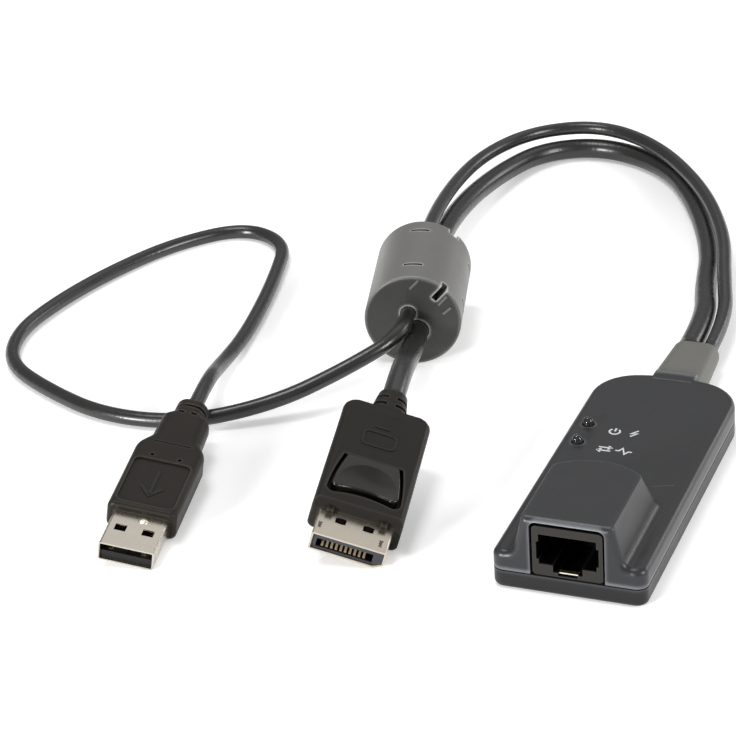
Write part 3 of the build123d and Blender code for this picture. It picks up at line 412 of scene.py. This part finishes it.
skinGroups = {
    "moulded": makeMouldedSkin(mouldedNoise),
    "rolled": makeRolledMetal(rolledNoise),
    "scratches": makeHairScratches(scratchNoise),
    "edges": makeEdgeWearHighlightAndCornerShade(edgeLook),
}
print("stage: surface effects built")


def newMaterial(name):
    material = bpy.data.materials.new(name)
    material.use_nodes = True
    tree = material.node_tree
    return material, tree, tree.nodes["Principled BSDF"]


def effect(tree, group, **values):
    node = tree.nodes.new("ShaderNodeGroup")
    node.node_tree = skinGroups[group]
    for label, value in values.items():
        give(tree, value, node.inputs[label.replace("_", " ")])
    return node.outputs


def objectPlace(tree):
    return tree.nodes.new("ShaderNodeTexCoord").outputs["Object"]


def cordPlace(tree):
    node = tree.nodes.new("ShaderNodeAttribute")
    node.attribute_name = "cordPlace"
    return node.outputs["Vector"]


def mixed(tree, factor, first, second):
    node = tree.nodes.new("ShaderNodeMix")
    node.data_type = "RGBA"
    give(tree, factor, node.inputs["Factor"])
    give(tree, first, node.inputs["A"])
    give(tree, second, node.inputs["B"])
    return node.outputs["Result"]


def skinEffect(tree, place, s):
    return effect(tree, "moulded", Place=place, Colour=(*s["colour"], 1.0), Tone_spread=s["toneSpread"],
                  Grain_size=s["grainSize"], Grain_depth=s["grainDepth"], Roughness=s["roughness"],
                  Roughness_spread=s["roughnessSpread"])


def giveSurface(tree, shader, colour, roughness, normal):
    give(tree, colour, shader.inputs["Base Color"])
    give(tree, roughness, shader.inputs["Roughness"])
    give(tree, normal, shader.inputs["Normal"])


# painted shade told by the depth along a frame's y axis, for shade inside a port or mouth, on an end face and
# beside a cover: 0 at the first depth and 1 at the second, in millimetres
def depthShadeMask(tree, place, s):
    home, first, second = s["depthShadeSpan"]
    marks = inWorld(home, np.array([[0.0, 0.0, 0.0], [0.0, 1.0, 0.0], [0.0, first, 0.0], [0.0, second, 0.0]]))
    heading = (marks[1] - marks[0]) * millimetresInMetre
    node = tree.nodes.new("ShaderNodeVectorMath")
    node.operation = "DOT_PRODUCT"
    give(tree, place, node.inputs[0])
    node.inputs[1].default_value = heading.tolist()
    return rangeNode(tree, node.outputs["Value"], float(marks[2] @ heading), float(marks[3] @ heading))


# mixes in the painted depth shade where a finish asks for it
def paintedDepthShade(tree, place, colour, s):
    if "depthShadeColour" not in s:
        return colour
    return mixed(tree, depthShadeMask(tree, place, s), colour, (*s["depthShadeColour"], 1.0))


def moulded(name, s):
    material, tree, shader = newMaterial(name)
    place = objectPlace(tree)
    skin = skinEffect(tree, place, s)
    colour = paintedDepthShade(tree, place, skin["Colour"], s)
    if "edgeWearAndHighlight" in s:
        # outer edges turn lighter, partly as wear and partly as a painted highlight
        edges = effect(tree, "edges", Edge_reach=s["edgeWearAndHighlightReach"], Corner_reach=s["cornerReach"])
        wornAndHighlit = product(tree, edges["Edge"], s["edgeWearAndHighlightStrength"])
        colour = mixed(tree, wornAndHighlit, colour, (*s["edgeWearAndHighlight"], 1.0))
        # inner corners, seams and slots turn darker: painted shade
        shade = product(tree, edges["Corner"], s["cornerShade"])
        colour = mixed(tree, shade, colour, (*s["cornerShadeColour"], 1.0))
    if "scratched" in s:
        scratches = effect(tree, "scratches", Place=place, Thinness=s["scratchWidth"])
        scratch = product(tree, scratches["Mask"], s["scratchStrength"])
        colour = mixed(tree, scratch, colour, (*s["scratched"], 1.0))
    giveSurface(tree, shader, colour, skin["Roughness"], skin["Normal"])
    shader.inputs["Specular IOR Level"].default_value = s["gloss"]
    shader.inputs["Coat Weight"].default_value = s["coat"]
    shader.inputs["Coat Roughness"].default_value = s["coatRoughness"]
    return material


def metal(name, s):
    material, tree, shader = newMaterial(name)
    place = objectPlace(tree)
    turn = (0.0, 0.0, math.radians(-s["turn"]))
    skin = effect(tree, "rolled", Place=place, Colour=(*s["colour"], 1.0), Turn=turn,
                  Roughness=s["roughness"], Streaks=s["streaks"])
    giveSurface(tree, shader, paintedDepthShade(tree, place, skin["Colour"], s), skin["Roughness"], skin["Normal"])
    shader.inputs["Metallic"].default_value = 1.0
    return material


# soft jacket: drawn along its length, with faint lengthwise lines and a few cross creases
def jacket(name, s):
    material, tree, shader = newMaterial(name)
    place = cordPlace(tree)
    skin = skinEffect(tree, place, s)
    lines = noiseNode(tree, stretched(tree, place, s["lineStretch"]), *s["line"])
    creases = noiseNode(tree, stretched(tree, place, s["creaseStretch"]), *s["crease"])
    height = mathNode(tree, "MULTIPLY_ADD", creases, s["creases"], lines)
    rough = mathNode(tree, "MULTIPLY_ADD", centred(tree, lines), s["lineGloss"], skin["Roughness"])
    giveSurface(tree, shader, skin["Colour"], rough, bumpNode(tree, height, s["lineDepth"]))
    shader.inputs["Specular IOR Level"].default_value = s["gloss"]
    return material


def clearLamp(name, s):
    material, tree, shader = newMaterial(name)
    skin = skinEffect(tree, objectPlace(tree), s)
    giveSurface(tree, shader, skin["Colour"], skin["Roughness"], skin["Normal"])
    shader.inputs["Transmission Weight"].default_value = s["clearness"]
    shader.inputs["IOR"].default_value = s["bending"]
    return material


# What a moulded finish is, where its own dictionary doesn't say otherwise. Reaches and depths are in metres
# and a grain size is a noise scale. The tone turns to depthShadeColour, painted light and shade told by
# depth, between the two depths of depthShadeSpan, which are in millimetres along the y axis of the frame that
# it names.
plainFinish = {
    "toneSpread": 0.1, "grainSize": 4000.0, "grainDepth": 0.00001, "roughness": 0.5, "roughnessSpread": 0.1,
    "gloss": 0.5, "coat": 0.0, "coatRoughness": 0.2,
    "cornerShadeColour": (0.002, 0.002, 0.002), "cornerShade": 0.35, "scratchStrength": 0.35,
}
# the case's strong corner shade darkens the seam between the shells as painted shade
caseFinish = {
    **plainFinish, "colour": (0.0155, 0.0158, 0.0176), "toneSpread": 0.16, "grainSize": 2600.0,
    "grainDepth": 0.00003, "roughness": 0.34, "gloss": 0.36, "edgeWearAndHighlight": (0.13, 0.135, 0.145),
    "edgeWearAndHighlightReach": 0.0009, "edgeWearAndHighlightStrength": 0.95, "cornerReach": 0.0012, "cornerShade": 0.97,
    "scratched": (0.1, 0.1, 0.11), "scratchWidth": 0.0035,
}
# a darker copy of the case plastic: the lower shell is painted darker as painted shade, with its edges
# painted less bright
shadedLowerCaseFinish = {
    **caseFinish, "colour": (0.008, 0.008, 0.0086), "gloss": 0.3, "edgeWearAndHighlight": (0.06, 0.06, 0.065),
}
# the port's inside turns near black with depth: painted shade
jackFinish = {
    **plainFinish, "colour": (0.03, 0.0285, 0.0265), "roughness": 0.6, "gloss": 0.06,
    "edgeWearAndHighlight": (0.09, 0.085, 0.08), "edgeWearAndHighlightReach": 0.0002, "edgeWearAndHighlightStrength": 0.5, "cornerReach": 0.0002,
    "depthShadeColour": (0.0008, 0.0008, 0.0008), "depthShadeSpan": ("case", -50.1, -49.6),
}
bootFinish = {
    **plainFinish, "colour": (0.112, 0.11, 0.098), "toneSpread": 0.14, "grainSize": 2200.0,
    "grainDepth": 0.00002, "roughness": 0.52, "edgeWearAndHighlight": (0.3, 0.3, 0.28), "edgeWearAndHighlightReach": 0.001,
    "edgeWearAndHighlightStrength": 0.6, "cornerReach": 0.001,
}
jacketFinish = {
    "colour": (0.011, 0.0106, 0.0102), "toneSpread": 0.22, "grainSize": 1500.0, "grainDepth": 0.00001,
    "roughness": 0.3, "roughnessSpread": 0.16, "gloss": 0.6,
    "lineStretch": (60.0, 1600.0, 1600.0), "line": (1.0, 3.0), "lineGloss": 0.16, "lineDepth": 0.00006,
    "creaseStretch": (700.0, 160.0, 160.0), "crease": (1.0, 2.0), "creases": 1.2,
}
# the front face turns darker as painted shade, the deep corner shade blackens the notch and slits as painted
# shade, and the rim is lightened partly as wear and partly as a painted highlight
ferriteFinish = {
    **plainFinish, "colour": (0.122, 0.12, 0.113), "toneSpread": 0.16, "grainSize": 1800.0,
    "grainDepth": 0.00003, "roughness": 0.4, "roughnessSpread": 0.14, "edgeWearAndHighlight": (0.5, 0.5, 0.47),
    "edgeWearAndHighlightReach": 0.0008, "edgeWearAndHighlightStrength": 0.95, "cornerReach": 0.0024, "cornerShade": 0.99,
    "scratched": (0.3, 0.3, 0.29), "scratchWidth": 0.003,
    "depthShadeColour": (0.019, 0.0188, 0.0165), "depthShadeSpan": ("ferrite", 0.35, 0.08),
}
usbMouldFinish = {
    **plainFinish, "colour": (0.0115, 0.0092, 0.0068), "toneSpread": 0.2, "grainSize": 2400.0,
    "grainDepth": 0.00003, "roughness": 0.44, "roughnessSpread": 0.12, "gloss": 0.18,
    "edgeWearAndHighlight": (0.075, 0.064, 0.054), "edgeWearAndHighlightReach": 0.0007, "edgeWearAndHighlightStrength": 0.8, "cornerReach": 0.0009,
    "cornerShade": 0.95,
}
videoMouldFinish = {
    **usbMouldFinish, "colour": (0.0095, 0.0078, 0.0056), "roughness": 0.42, "gloss": 0.19,
    "edgeWearAndHighlight": (0.055, 0.046, 0.038),
}
signFinish = {**plainFinish, "colour": (0.009, 0.0078, 0.0065), "grainSize": 2400.0, "gloss": 0.3}
buttonFinish = {
    **plainFinish, "colour": (0.011, 0.0098, 0.0085), "grainSize": 3000.0, "roughness": 0.3,
    "roughnessSpread": 0.08, "gloss": 0.22, "edgeWearAndHighlight": (0.06, 0.058, 0.055), "edgeWearAndHighlightReach": 0.0004,
    "edgeWearAndHighlightStrength": 0.5, "cornerReach": 0.0004, "coat": 0.22, "coatRoughness": 0.1,
}
carrierFinish = {
    **plainFinish, "colour": (0.004, 0.004, 0.004), "roughness": 0.45, "gloss": 0.3,
    "edgeWearAndHighlight": (0.05, 0.05, 0.05), "edgeWearAndHighlightReach": 0.0002, "edgeWearAndHighlightStrength": 0.5, "cornerReach": 0.0002,
}
# near black as painted shade inside the mouth, turning lighter towards the lit front
insertFinish = {
    **plainFinish, "colour": (0.0015, 0.0015, 0.0015), "gloss": 0.3,
    "depthShadeColour": (0.032, 0.033, 0.04), "depthShadeSpan": ("video", 0.9, 0.6),
}
contactFinish = {**plainFinish, "colour": (0.42, 0.34, 0.22), "roughness": 0.35}
chipFinish = {**plainFinish, "colour": (0.02, 0.02, 0.021), "roughness": 0.6}
boardFinish = {
    **plainFinish, "colour": (0.01, 0.07, 0.03), "toneSpread": 0.2, "grainSize": 1500.0, "roughness": 0.35,
}
headerFinish = {**plainFinish, "colour": (0.7, 0.67, 0.58), "toneSpread": 0.05}
leadFinish = {**plainFinish, "colour": (0.3, 0.03, 0.02), "toneSpread": 0.05, "roughness": 0.4}
# dark ferrite, darkened beyond its own dark grey as painted shade for the core seen through the notch
ceramicNotchShadeFinish = {
    **plainFinish, "colour": (0.004, 0.004, 0.0044), "toneSpread": 0.15, "grainSize": 1800.0,
    "grainDepth": 0.00004, "roughness": 0.6, "roughnessSpread": 0.15,
}
coreFinish = {**plainFinish, "colour": (0.5, 0.5, 0.47), "toneSpread": 0.05, "grainSize": 3000.0}
lampChipFinish = {
    **plainFinish, "colour": (0.75, 0.72, 0.5), "toneSpread": 0.05, "grainSize": 3000.0, "roughness": 0.4,
}
ribFinish = {
    **plainFinish, "colour": (0.085, 0.085, 0.075), "toneSpread": 0.3, "grainSize": 2400.0,
    "grainDepth": 0.00003, "roughness": 0.45, "roughnessSpread": 0.14,
}
inkFinish = {
    **plainFinish, "colour": (0.52, 0.53, 0.54), "toneSpread": 0.12, "grainSize": 5000.0,
    "grainDepth": 0.000004,
}
lampFinish = {
    "colour": (0.16, 0.165, 0.17), "toneSpread": 0.02, "grainSize": 900.0, "grainDepth": 0.000002,
    "roughness": 0.05, "roughnessSpread": 0.04, "clearness": 0.9, "bending": 1.5,
}

# metals: the turn, in degrees, is the way that the streaks run
# the USB shell turns brownish dark next to its cover: painted shade
usbShellFinish = {
    "colour": (0.53, 0.49, 0.43), "roughness": 0.27, "streaks": 0.12, "turn": 9.0,
    "depthShadeColour": (0.3, 0.25, 0.2), "depthShadeSpan": ("usb", 10.8, 12.3),
}
# the video shell turns brownish dark next to its cover: painted shade
videoShellFinish = {
    "colour": (0.52, 0.47, 0.40), "roughness": 0.3, "streaks": 0.12, "turn": 9.4,
    "depthShadeColour": (0.25, 0.19, 0.14), "depthShadeSpan": ("video", 8.0, 10.0),
}
goldFinish = {"colour": (0.86, 0.68, 0.38), "roughness": 0.25, "streaks": 0.08, "turn": 9.0}
# also dresses the USB shell dimple, where its pale colour is a painted highlight
tabAndDimpleHighlightFinish = {"colour": (0.88, 0.85, 0.68), "roughness": 0.3, "streaks": 0.08, "turn": 0.0}
steelFinish = {"colour": (0.35, 0.34, 0.33), "roughness": 0.38, "streaks": 0.15, "turn": 0.0}
# near-black latch steel: painted shade, so the windows over the latch hooks read dark
latchPaintedShadeFinish = {"colour": (0.008, 0.007, 0.006), "roughness": 0.55, "streaks": 0.15, "turn": 9.4}
stampFinish = {"colour": (0.17, 0.15, 0.13), "roughness": 0.4, "streaks": 0.15, "turn": 9.4}
canFinish = {"colour": (0.7, 0.7, 0.7), "roughness": 0.3, "streaks": 0.1, "turn": 0.0}

finishes = {
    "case": moulded("casePlastic", caseFinish),
    "shadedLowerCase": moulded("lowerCasePlasticShaded", shadedLowerCaseFinish),
    "jack": moulded("jackPlastic", jackFinish),
    "boot": moulded("bootRubber", bootFinish),
    "jacket": jacket("cableJacket", jacketFinish),
    "ferrite": moulded("ferriteCover", ferriteFinish),
    "usbMould": moulded("usbMould", usbMouldFinish),
    "videoMould": moulded("videoMould", videoMouldFinish),
    "button": moulded("buttonPlastic", buttonFinish),
    "carrier": moulded("plugCarrier", carrierFinish),
    "chip": moulded("chipEpoxy", chipFinish),
    "board": moulded("boardMask", boardFinish),
    "header": moulded("headerNylon", headerFinish),
    "lead": moulded("leadCover", leadFinish),
    "ceramic": moulded("ferriteCeramicNotchShade", ceramicNotchShadeFinish),
    "core": moulded("innerMould", coreFinish),
    "lampChip": moulded("lampChip", lampChipFinish),
    "insert": moulded("insertPlastic", insertFinish),
    "contact": moulded("contactRows", contactFinish),
    "sign": moulded("signRelief", signFinish),
    "rib": moulded("ferriteRib", ribFinish),
    "ink": moulded("printInk", inkFinish),
    "stamp": metal("stampedMetal", stampFinish),
    "tab": metal("latchTabAndDimpleHighlightMetal", tabAndDimpleHighlightFinish),
    "usbShell": metal("usbShellMetal", usbShellFinish),
    "videoShell": metal("videoShellMetal", videoShellFinish),
    "gold": metal("contactGold", goldFinish),
    "steel": metal("darkSteel", steelFinish),
    "latch": metal("latchSteelPaintedShade", latchPaintedShadeFinish),
    "can": metal("brightCan", canFinish),
    "lamp": clearLamp("clearLamp", lampFinish),
}

nodeFinishes = {
    "lower_shell": "shadedLowerCase", "upper_shell": "case", "circuit_board": "board", "network_jack": "jack",
    "network_jack_pins": "gold", "network_jack_tab": "tab", "main_chip": "chip", "memory_chip": "chip",
    "clock_crystal": "can", "capacitors": "can", "usb_header": "header", "video_header": "header",
    "usb_leads": "lead", "video_leads": "lead", "power_lamp": "lamp", "active_lamp": "lamp",
    "power_lamp_chip": "lampChip", "active_lamp_chip": "lampChip", "case_screws": "steel",
    "cable_boot": "boot", "ferrite_sleeve": "ferrite", "ferrite_core": "ceramic",
    "usb_plug_shell": "usbShell",
    "usb_plug_tongue": "carrier", "usb_plug_contacts": "gold", "usb_plug_core": "core",
    "usb_plug_cover": "usbMould", "video_plug_shell": "videoShell", "video_plug_insert": "insert",
    "video_plug_contacts": "contact", "video_plug_board": "board", "video_plug_latch": "latch",
    "video_plug_cover": "videoMould", "video_plug_button": "button",
}


def dress(piece, material):
    if not piece.material_slots:
        piece.data.materials.append(material)
    for place in piece.material_slots:
        place.material = material


for nodeName, finishName in nodeFinishes.items():
    dress(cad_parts[nodeName], finishes[finishName])
dress(usbCord, finishes["jacket"])
dress(videoCord, finishes["jacket"])
print("stage: finishes given")


# A rib: four corners carried along a path in the plane. corner(t, k) = path(t) +- half width * across(t) at
# the low or the high level. Its ends are shut, or joined where the path is a loop, and the mitre of a sharp
# turn is kept short.
def makeRib(path, width, low, high, loop=False, leastTurn=0.5):
    path = np.array(path, float)
    before = np.roll(path, 1, axis=0)
    after = np.roll(path, -1, axis=0)
    if not loop:
        before[0] = 2 * path[0] - path[1]
        after[-1] = 2 * path[-1] - path[-2]
    entering = path - before
    leaving = after - path
    entering /= np.linalg.norm(entering, axis=1)[:, None]
    leaving /= np.linalg.norm(leaving, axis=1)[:, None]
    heading = entering + leaving
    heading /= np.linalg.norm(heading, axis=1)[:, None]
    mitre = 1 / np.maximum(np.sum(heading * leaving, axis=1), leastTurn)
    across = np.stack((-heading[:, 1], heading[:, 0]), axis=1) * (width / 2 * mitre)[:, None]
    left, right = path + across, path - across
    corners = np.empty((len(path), 4, 3))
    for k, (edge, level) in enumerate(((left, low), (right, low), (right, high), (left, high))):
        corners[:, k, :2] = edge
        corners[:, k, 2] = level
    faces = gridFaces(len(path), 4, roundRows=loop)[:, ::-1].tolist()
    if not loop:
        last = 4 * (len(path) - 1)
        faces += [[3, 2, 1, 0], [last, last + 1, last + 2, last + 3]]
    return corners.reshape(-1, 3), faces


def arc(centre, radius, start, end, steps):
    angle = np.radians(np.linspace(start, end, steps))
    return np.stack((centre[0] + radius * np.cos(angle), centre[1] + radius * np.sin(angle)), axis=1)


# a rounded oblong: four quarter arcs about its inner corners
def roundedLoop(centre, width, height, corner, steps=6):
    turns = []
    for k, (sx, sy) in enumerate(((1, 1), (-1, 1), (-1, -1), (1, -1))):
        middle = (centre[0] + sx * (width / 2 - corner), centre[1] + sy * (height / 2 - corner))
        turns.append(arc(middle, corner, 90 * k, 90 * k + 90, steps))
    return np.vstack(turns)


# a low dome: point(r, a) = centre + r * (cos a, sin a), height * (1 - r * r), with its rim set under the skin
def makeDome(centre, radius, base, height, rings=5, sides=20):
    share = np.linspace(1.0, 0.0, rings, endpoint=False)
    angle = np.linspace(0.0, 2 * math.pi, sides, endpoint=False)
    points = np.empty((rings, sides, 3))
    points[:, :, 0] = centre[0] + radius * share[:, None] * np.cos(angle)
    points[:, :, 1] = centre[1] + radius * share[:, None] * np.sin(angle)
    points[:, :, 2] = base + height * (1 - share[:, None] ** 2)
    points = np.vstack((points.reshape(-1, 3), [[centre[0], centre[1], base + height]]))
    faces = gridFaces(rings, sides).tolist()
    ring = np.arange(sides) + (rings - 1) * sides
    faces += [[int(a), int(b), rings * sides] for a, b in zip(ring, np.roll(ring, -1))]
    faces.append(list(range(sides))[::-1])
    return points, faces


def relief(name, home, parts, finish, smooth=False, axes=None):
    placed = [(inWorld(home, points if axes is None else points @ axes), faces) for points, faces in parts]
    piece = makePiece(name, placed, smooth)
    dress(piece, finishes[finish])


# print beside the lamps: plain signs for power and for traffic, on the deck
lampPrint = {
    "deck": 8.6, "sunk": 0.05, "ink": 0.03, "stroke": 0.42,
    "power": (-5.7, 2.7), "traffic": (-5.7, -5.2),
    "reach": 4.4,                   # from each first sign to the one beside it
    "ring": (1.15, 130, 410, 26),   # radius, first and last angle in degrees, points
    "ringDrop": 0.1, "bar": 1.3,
    "bolt": [(0.55, 1.35), (-0.7, -0.1), (0.6, 0.1), (-0.6, -1.35)],
    "arrowRise": 0.65, "arrowReach": 1.45,
    "arrowHead": (0.8, 0.7),        # length and half its height
    "pulse": [(-2.0, 0.0), (-1.2, 0.0), (-0.6, 1.2), (0.3, -1.2), (0.9, 0.0), (1.7, 0.0)],
}


def makeLampPrint(s):
    (px, py), (tx, ty) = s["power"], s["traffic"]
    headLength, headRise = s["arrowHead"]
    paths = [
        arc((px, py - s["ringDrop"]), *s["ring"]),
        [(px, py), (px, py + s["bar"])],
        [(px + s["reach"] + x, py + y) for x, y in s["bolt"]],
    ]
    for side in (-1, 1):
        y = ty + side * s["arrowRise"]
        tip = tx + side * s["arrowReach"]
        back = tip - side * headLength
        paths.append([(tx - side * s["arrowReach"], y), (tip, y)])
        paths.append([(back, y + headRise), (tip, y), (back, y - headRise)])
    paths.append([(tx + s["reach"] + x, ty + y) for x, y in s["pulse"]])
    parts = [makeRib(path, s["stroke"], s["deck"] - s["sunk"], s["deck"] + s["ink"]) for path in paths]
    relief("lampPrint", "case", parts, "ink")


makeLampPrint(lampPrint)

# a short light scratch beside the hood
deckScratch = {
    "deck": 8.6, "sunk": 0.05, "proud": 0.01, "stroke": 0.14,
    "path": [(8.6, -17.8), (10.2, -17.0), (12.8, -16.1)],
}


def makeDeckScratch(s):
    part = makeRib(s["path"], s["stroke"], s["deck"] - s["sunk"], s["deck"] + s["proud"])
    relief("deckScratch", "case", [part], "rib")


makeDeckScratch(deckScratch)

# stamps in the plug shells: short pressed bars near the video plug's mouth, and a dimple on the USB shell
# whose paler metal is a painted highlight
shellStamps = {
    "videoTop": 2.38, "usbTop": 2.25, "sunk": 0.15, "proud": 0.07, "stroke": 0.34,
    "videoBars": [[(-7.3, 3.7), (-6.75, 2.9), (-7.2, 2.0)], [(-6.6, 3.7), (-7.2, 2.9), (-6.7, 2.0)],
                  [(5.9, 3.4), (6.4, 2.5), (5.95, 1.5)], [(6.6, 3.4), (6.0, 2.5), (6.5, 1.5)]],
    "dimple": (1.0, 10.0), "dimpleRadius": 1.3, "dimpleSunk": 0.05, "dimpleRise": 0.36,
}


def makeShellStamps(s):
    top = s["videoTop"]
    bars = [makeRib(path, s["stroke"], top - s["sunk"], top + s["proud"]) for path in s["videoBars"]]
    relief("videoShellStamps", "video", bars, "stamp")
    dome = makeDome(s["dimple"], s["dimpleRadius"], s["usbTop"] - s["dimpleSunk"], s["dimpleRise"])
    # the dimple's paler metal is a painted highlight
    relief("usbShellDimplesPaintedHighlight", "usb", [dome], "tab", smooth=True)


makeShellStamps(shellStamps)

# signs moulded into the plugs: an arrow towards the mouth, and a plain screen on a foot
plugSigns = {
    "usbPanel": 3.75, "videoTop": 5.0, "sunk": 0.1, "proud": 0.16, "stroke": 0.75,
    "arrow": [(0.0, 26.0), (0.0, 17.0)], "head": [(-2.3, 19.8), (0.0, 16.9), (2.3, 19.8)],
    "screen": ((-0.2, 30.9), 7.2, 4.6, 1.2),    # centre, width, height and corner
    "foot": [(-1.8, 35.0), (1.4, 35.0)], "screenStroke": 0.5,
}


def makePlugSigns(s):
    low, high = s["usbPanel"] - s["sunk"], s["usbPanel"] + s["proud"]
    ribs = [makeRib(path, s["stroke"], low, high) for path in (s["arrow"], s["head"])]
    relief("usbArrow", "usb", ribs, "sign")
    low, high = s["videoTop"] - s["sunk"], s["videoTop"] + s["proud"]
    ribs = [makeRib(roundedLoop(*s["screen"]), s["screenStroke"], low, high, loop=True),
            makeRib(s["foot"], s["screenStroke"], low, high)]
    relief("videoScreenSign", "video", ribs, "sign")


makePlugSigns(plugSigns)

# ribs on the ferrite's front face, beside the notch in its rim; faceAxes stands them on that face
ferriteRibs = {
    "low": -0.1, "high": 0.28, "width": 0.55,
    "paths": [[(-0.3, 8.3), (1.8, 10.5)], [(7.2, 1.75), (9.1, 3.4)], [(6.2, 4.05), (8.3, 6.3)]],
}
faceAxes = np.array([[1.0, 0.0, 0.0], [0.0, 0.0, 1.0], [0.0, -1.0, 0.0]])


def makeFerriteRibs(s):
    ribs = [makeRib(path, s["width"], s["low"], s["high"]) for path in s["paths"]]
    relief("ferriteRibs", "ferrite", ribs, "rib", axes=faceAxes)


makeFerriteRibs(ferriteRibs)
print("stage: relief and print made")

# studio
studio = {
    "floorShade": (0.95, 0.95, 0.95),
    "floorRoughness": 0.9,
    "floorGloss": 0.1,
    "floorGlow": 0.2,
    "floorReach": 3.0,
    "floorLevel": -0.00005,     # just under the object, so that nothing flickers where it rests
    "skyLevel": 0.34,
    "lamps": [
        # name, place, aimed at, size, watts
        ("topLamp", (-0.25, 0.05, 0.95), (-0.07, 0.03, 0.0), (0.35, 0.35), 3.4),
        ("backLamp", (-0.02, 0.78, 0.8), (-0.07, 0.0, 0.0), (1.0, 0.6), 1.3),
        ("sideLamp", (0.72, 1.0, 0.3), (-0.03, 0.0, 0.0), (0.6, 0.35), 2.6),
        ("rightLamp", (0.95, -0.1, 0.5), (-0.07, 0.03, 0.0), (0.4, 0.4), 7.6),
        ("frontLamp", (-0.42, -0.8, 0.24), (-0.05, 0.0, 0.0), (0.22, 0.18), 9.5),
    ],
}


def makeStudio(s):
    scene = bpy.context.scene
    scene.view_settings.view_transform = "Standard"
    world = bpy.data.worlds.new("paleSky")
    world.use_nodes = True
    sky = world.node_tree.nodes["Background"]
    sky.inputs["Color"].default_value = (1.0, 1.0, 1.0, 1.0)
    sky.inputs["Strength"].default_value = s["skyLevel"]
    scene.world = world
    data = bpy.data.meshes.new("floorSheet")
    corners = [(x * s["floorReach"], y * s["floorReach"], s["floorLevel"])
               for x, y in ((-1, -1), (1, -1), (1, 1), (-1, 1))]
    data.from_pydata(corners, [], [(0, 1, 2, 3)])
    floor = bpy.data.objects.new("floorSheet", data)
    scene.collection.objects.link(floor)
    material, tree, shader = newMaterial("floorPaper")
    shader.inputs["Base Color"].default_value = (*s["floorShade"], 1.0)
    shader.inputs["Roughness"].default_value = s["floorRoughness"]
    shader.inputs["Specular IOR Level"].default_value = s["floorGloss"]
    shader.inputs["Emission Color"].default_value = (1.0, 1.0, 1.0, 1.0)
    shader.inputs["Emission Strength"].default_value = s["floorGlow"]
    dress(floor, material)
    for name, place, target, size, power in s["lamps"]:
        light = bpy.data.lights.new(name, "AREA")
        light.shape = "RECTANGLE"
        light.size, light.size_y = size
        light.energy = power
        lamp = bpy.data.objects.new(name, light)
        away = np.array(place) - np.array(target)
        away /= np.linalg.norm(away)
        side = np.cross((0.0, 0.0, 1.0), away)
        side /= np.linalg.norm(side)
        lamp.matrix_world = axesMatrix(side, np.cross(away, side), away, place)
        scene.collection.objects.link(lamp)


makeStudio(studio)
print("stage: studio lit")
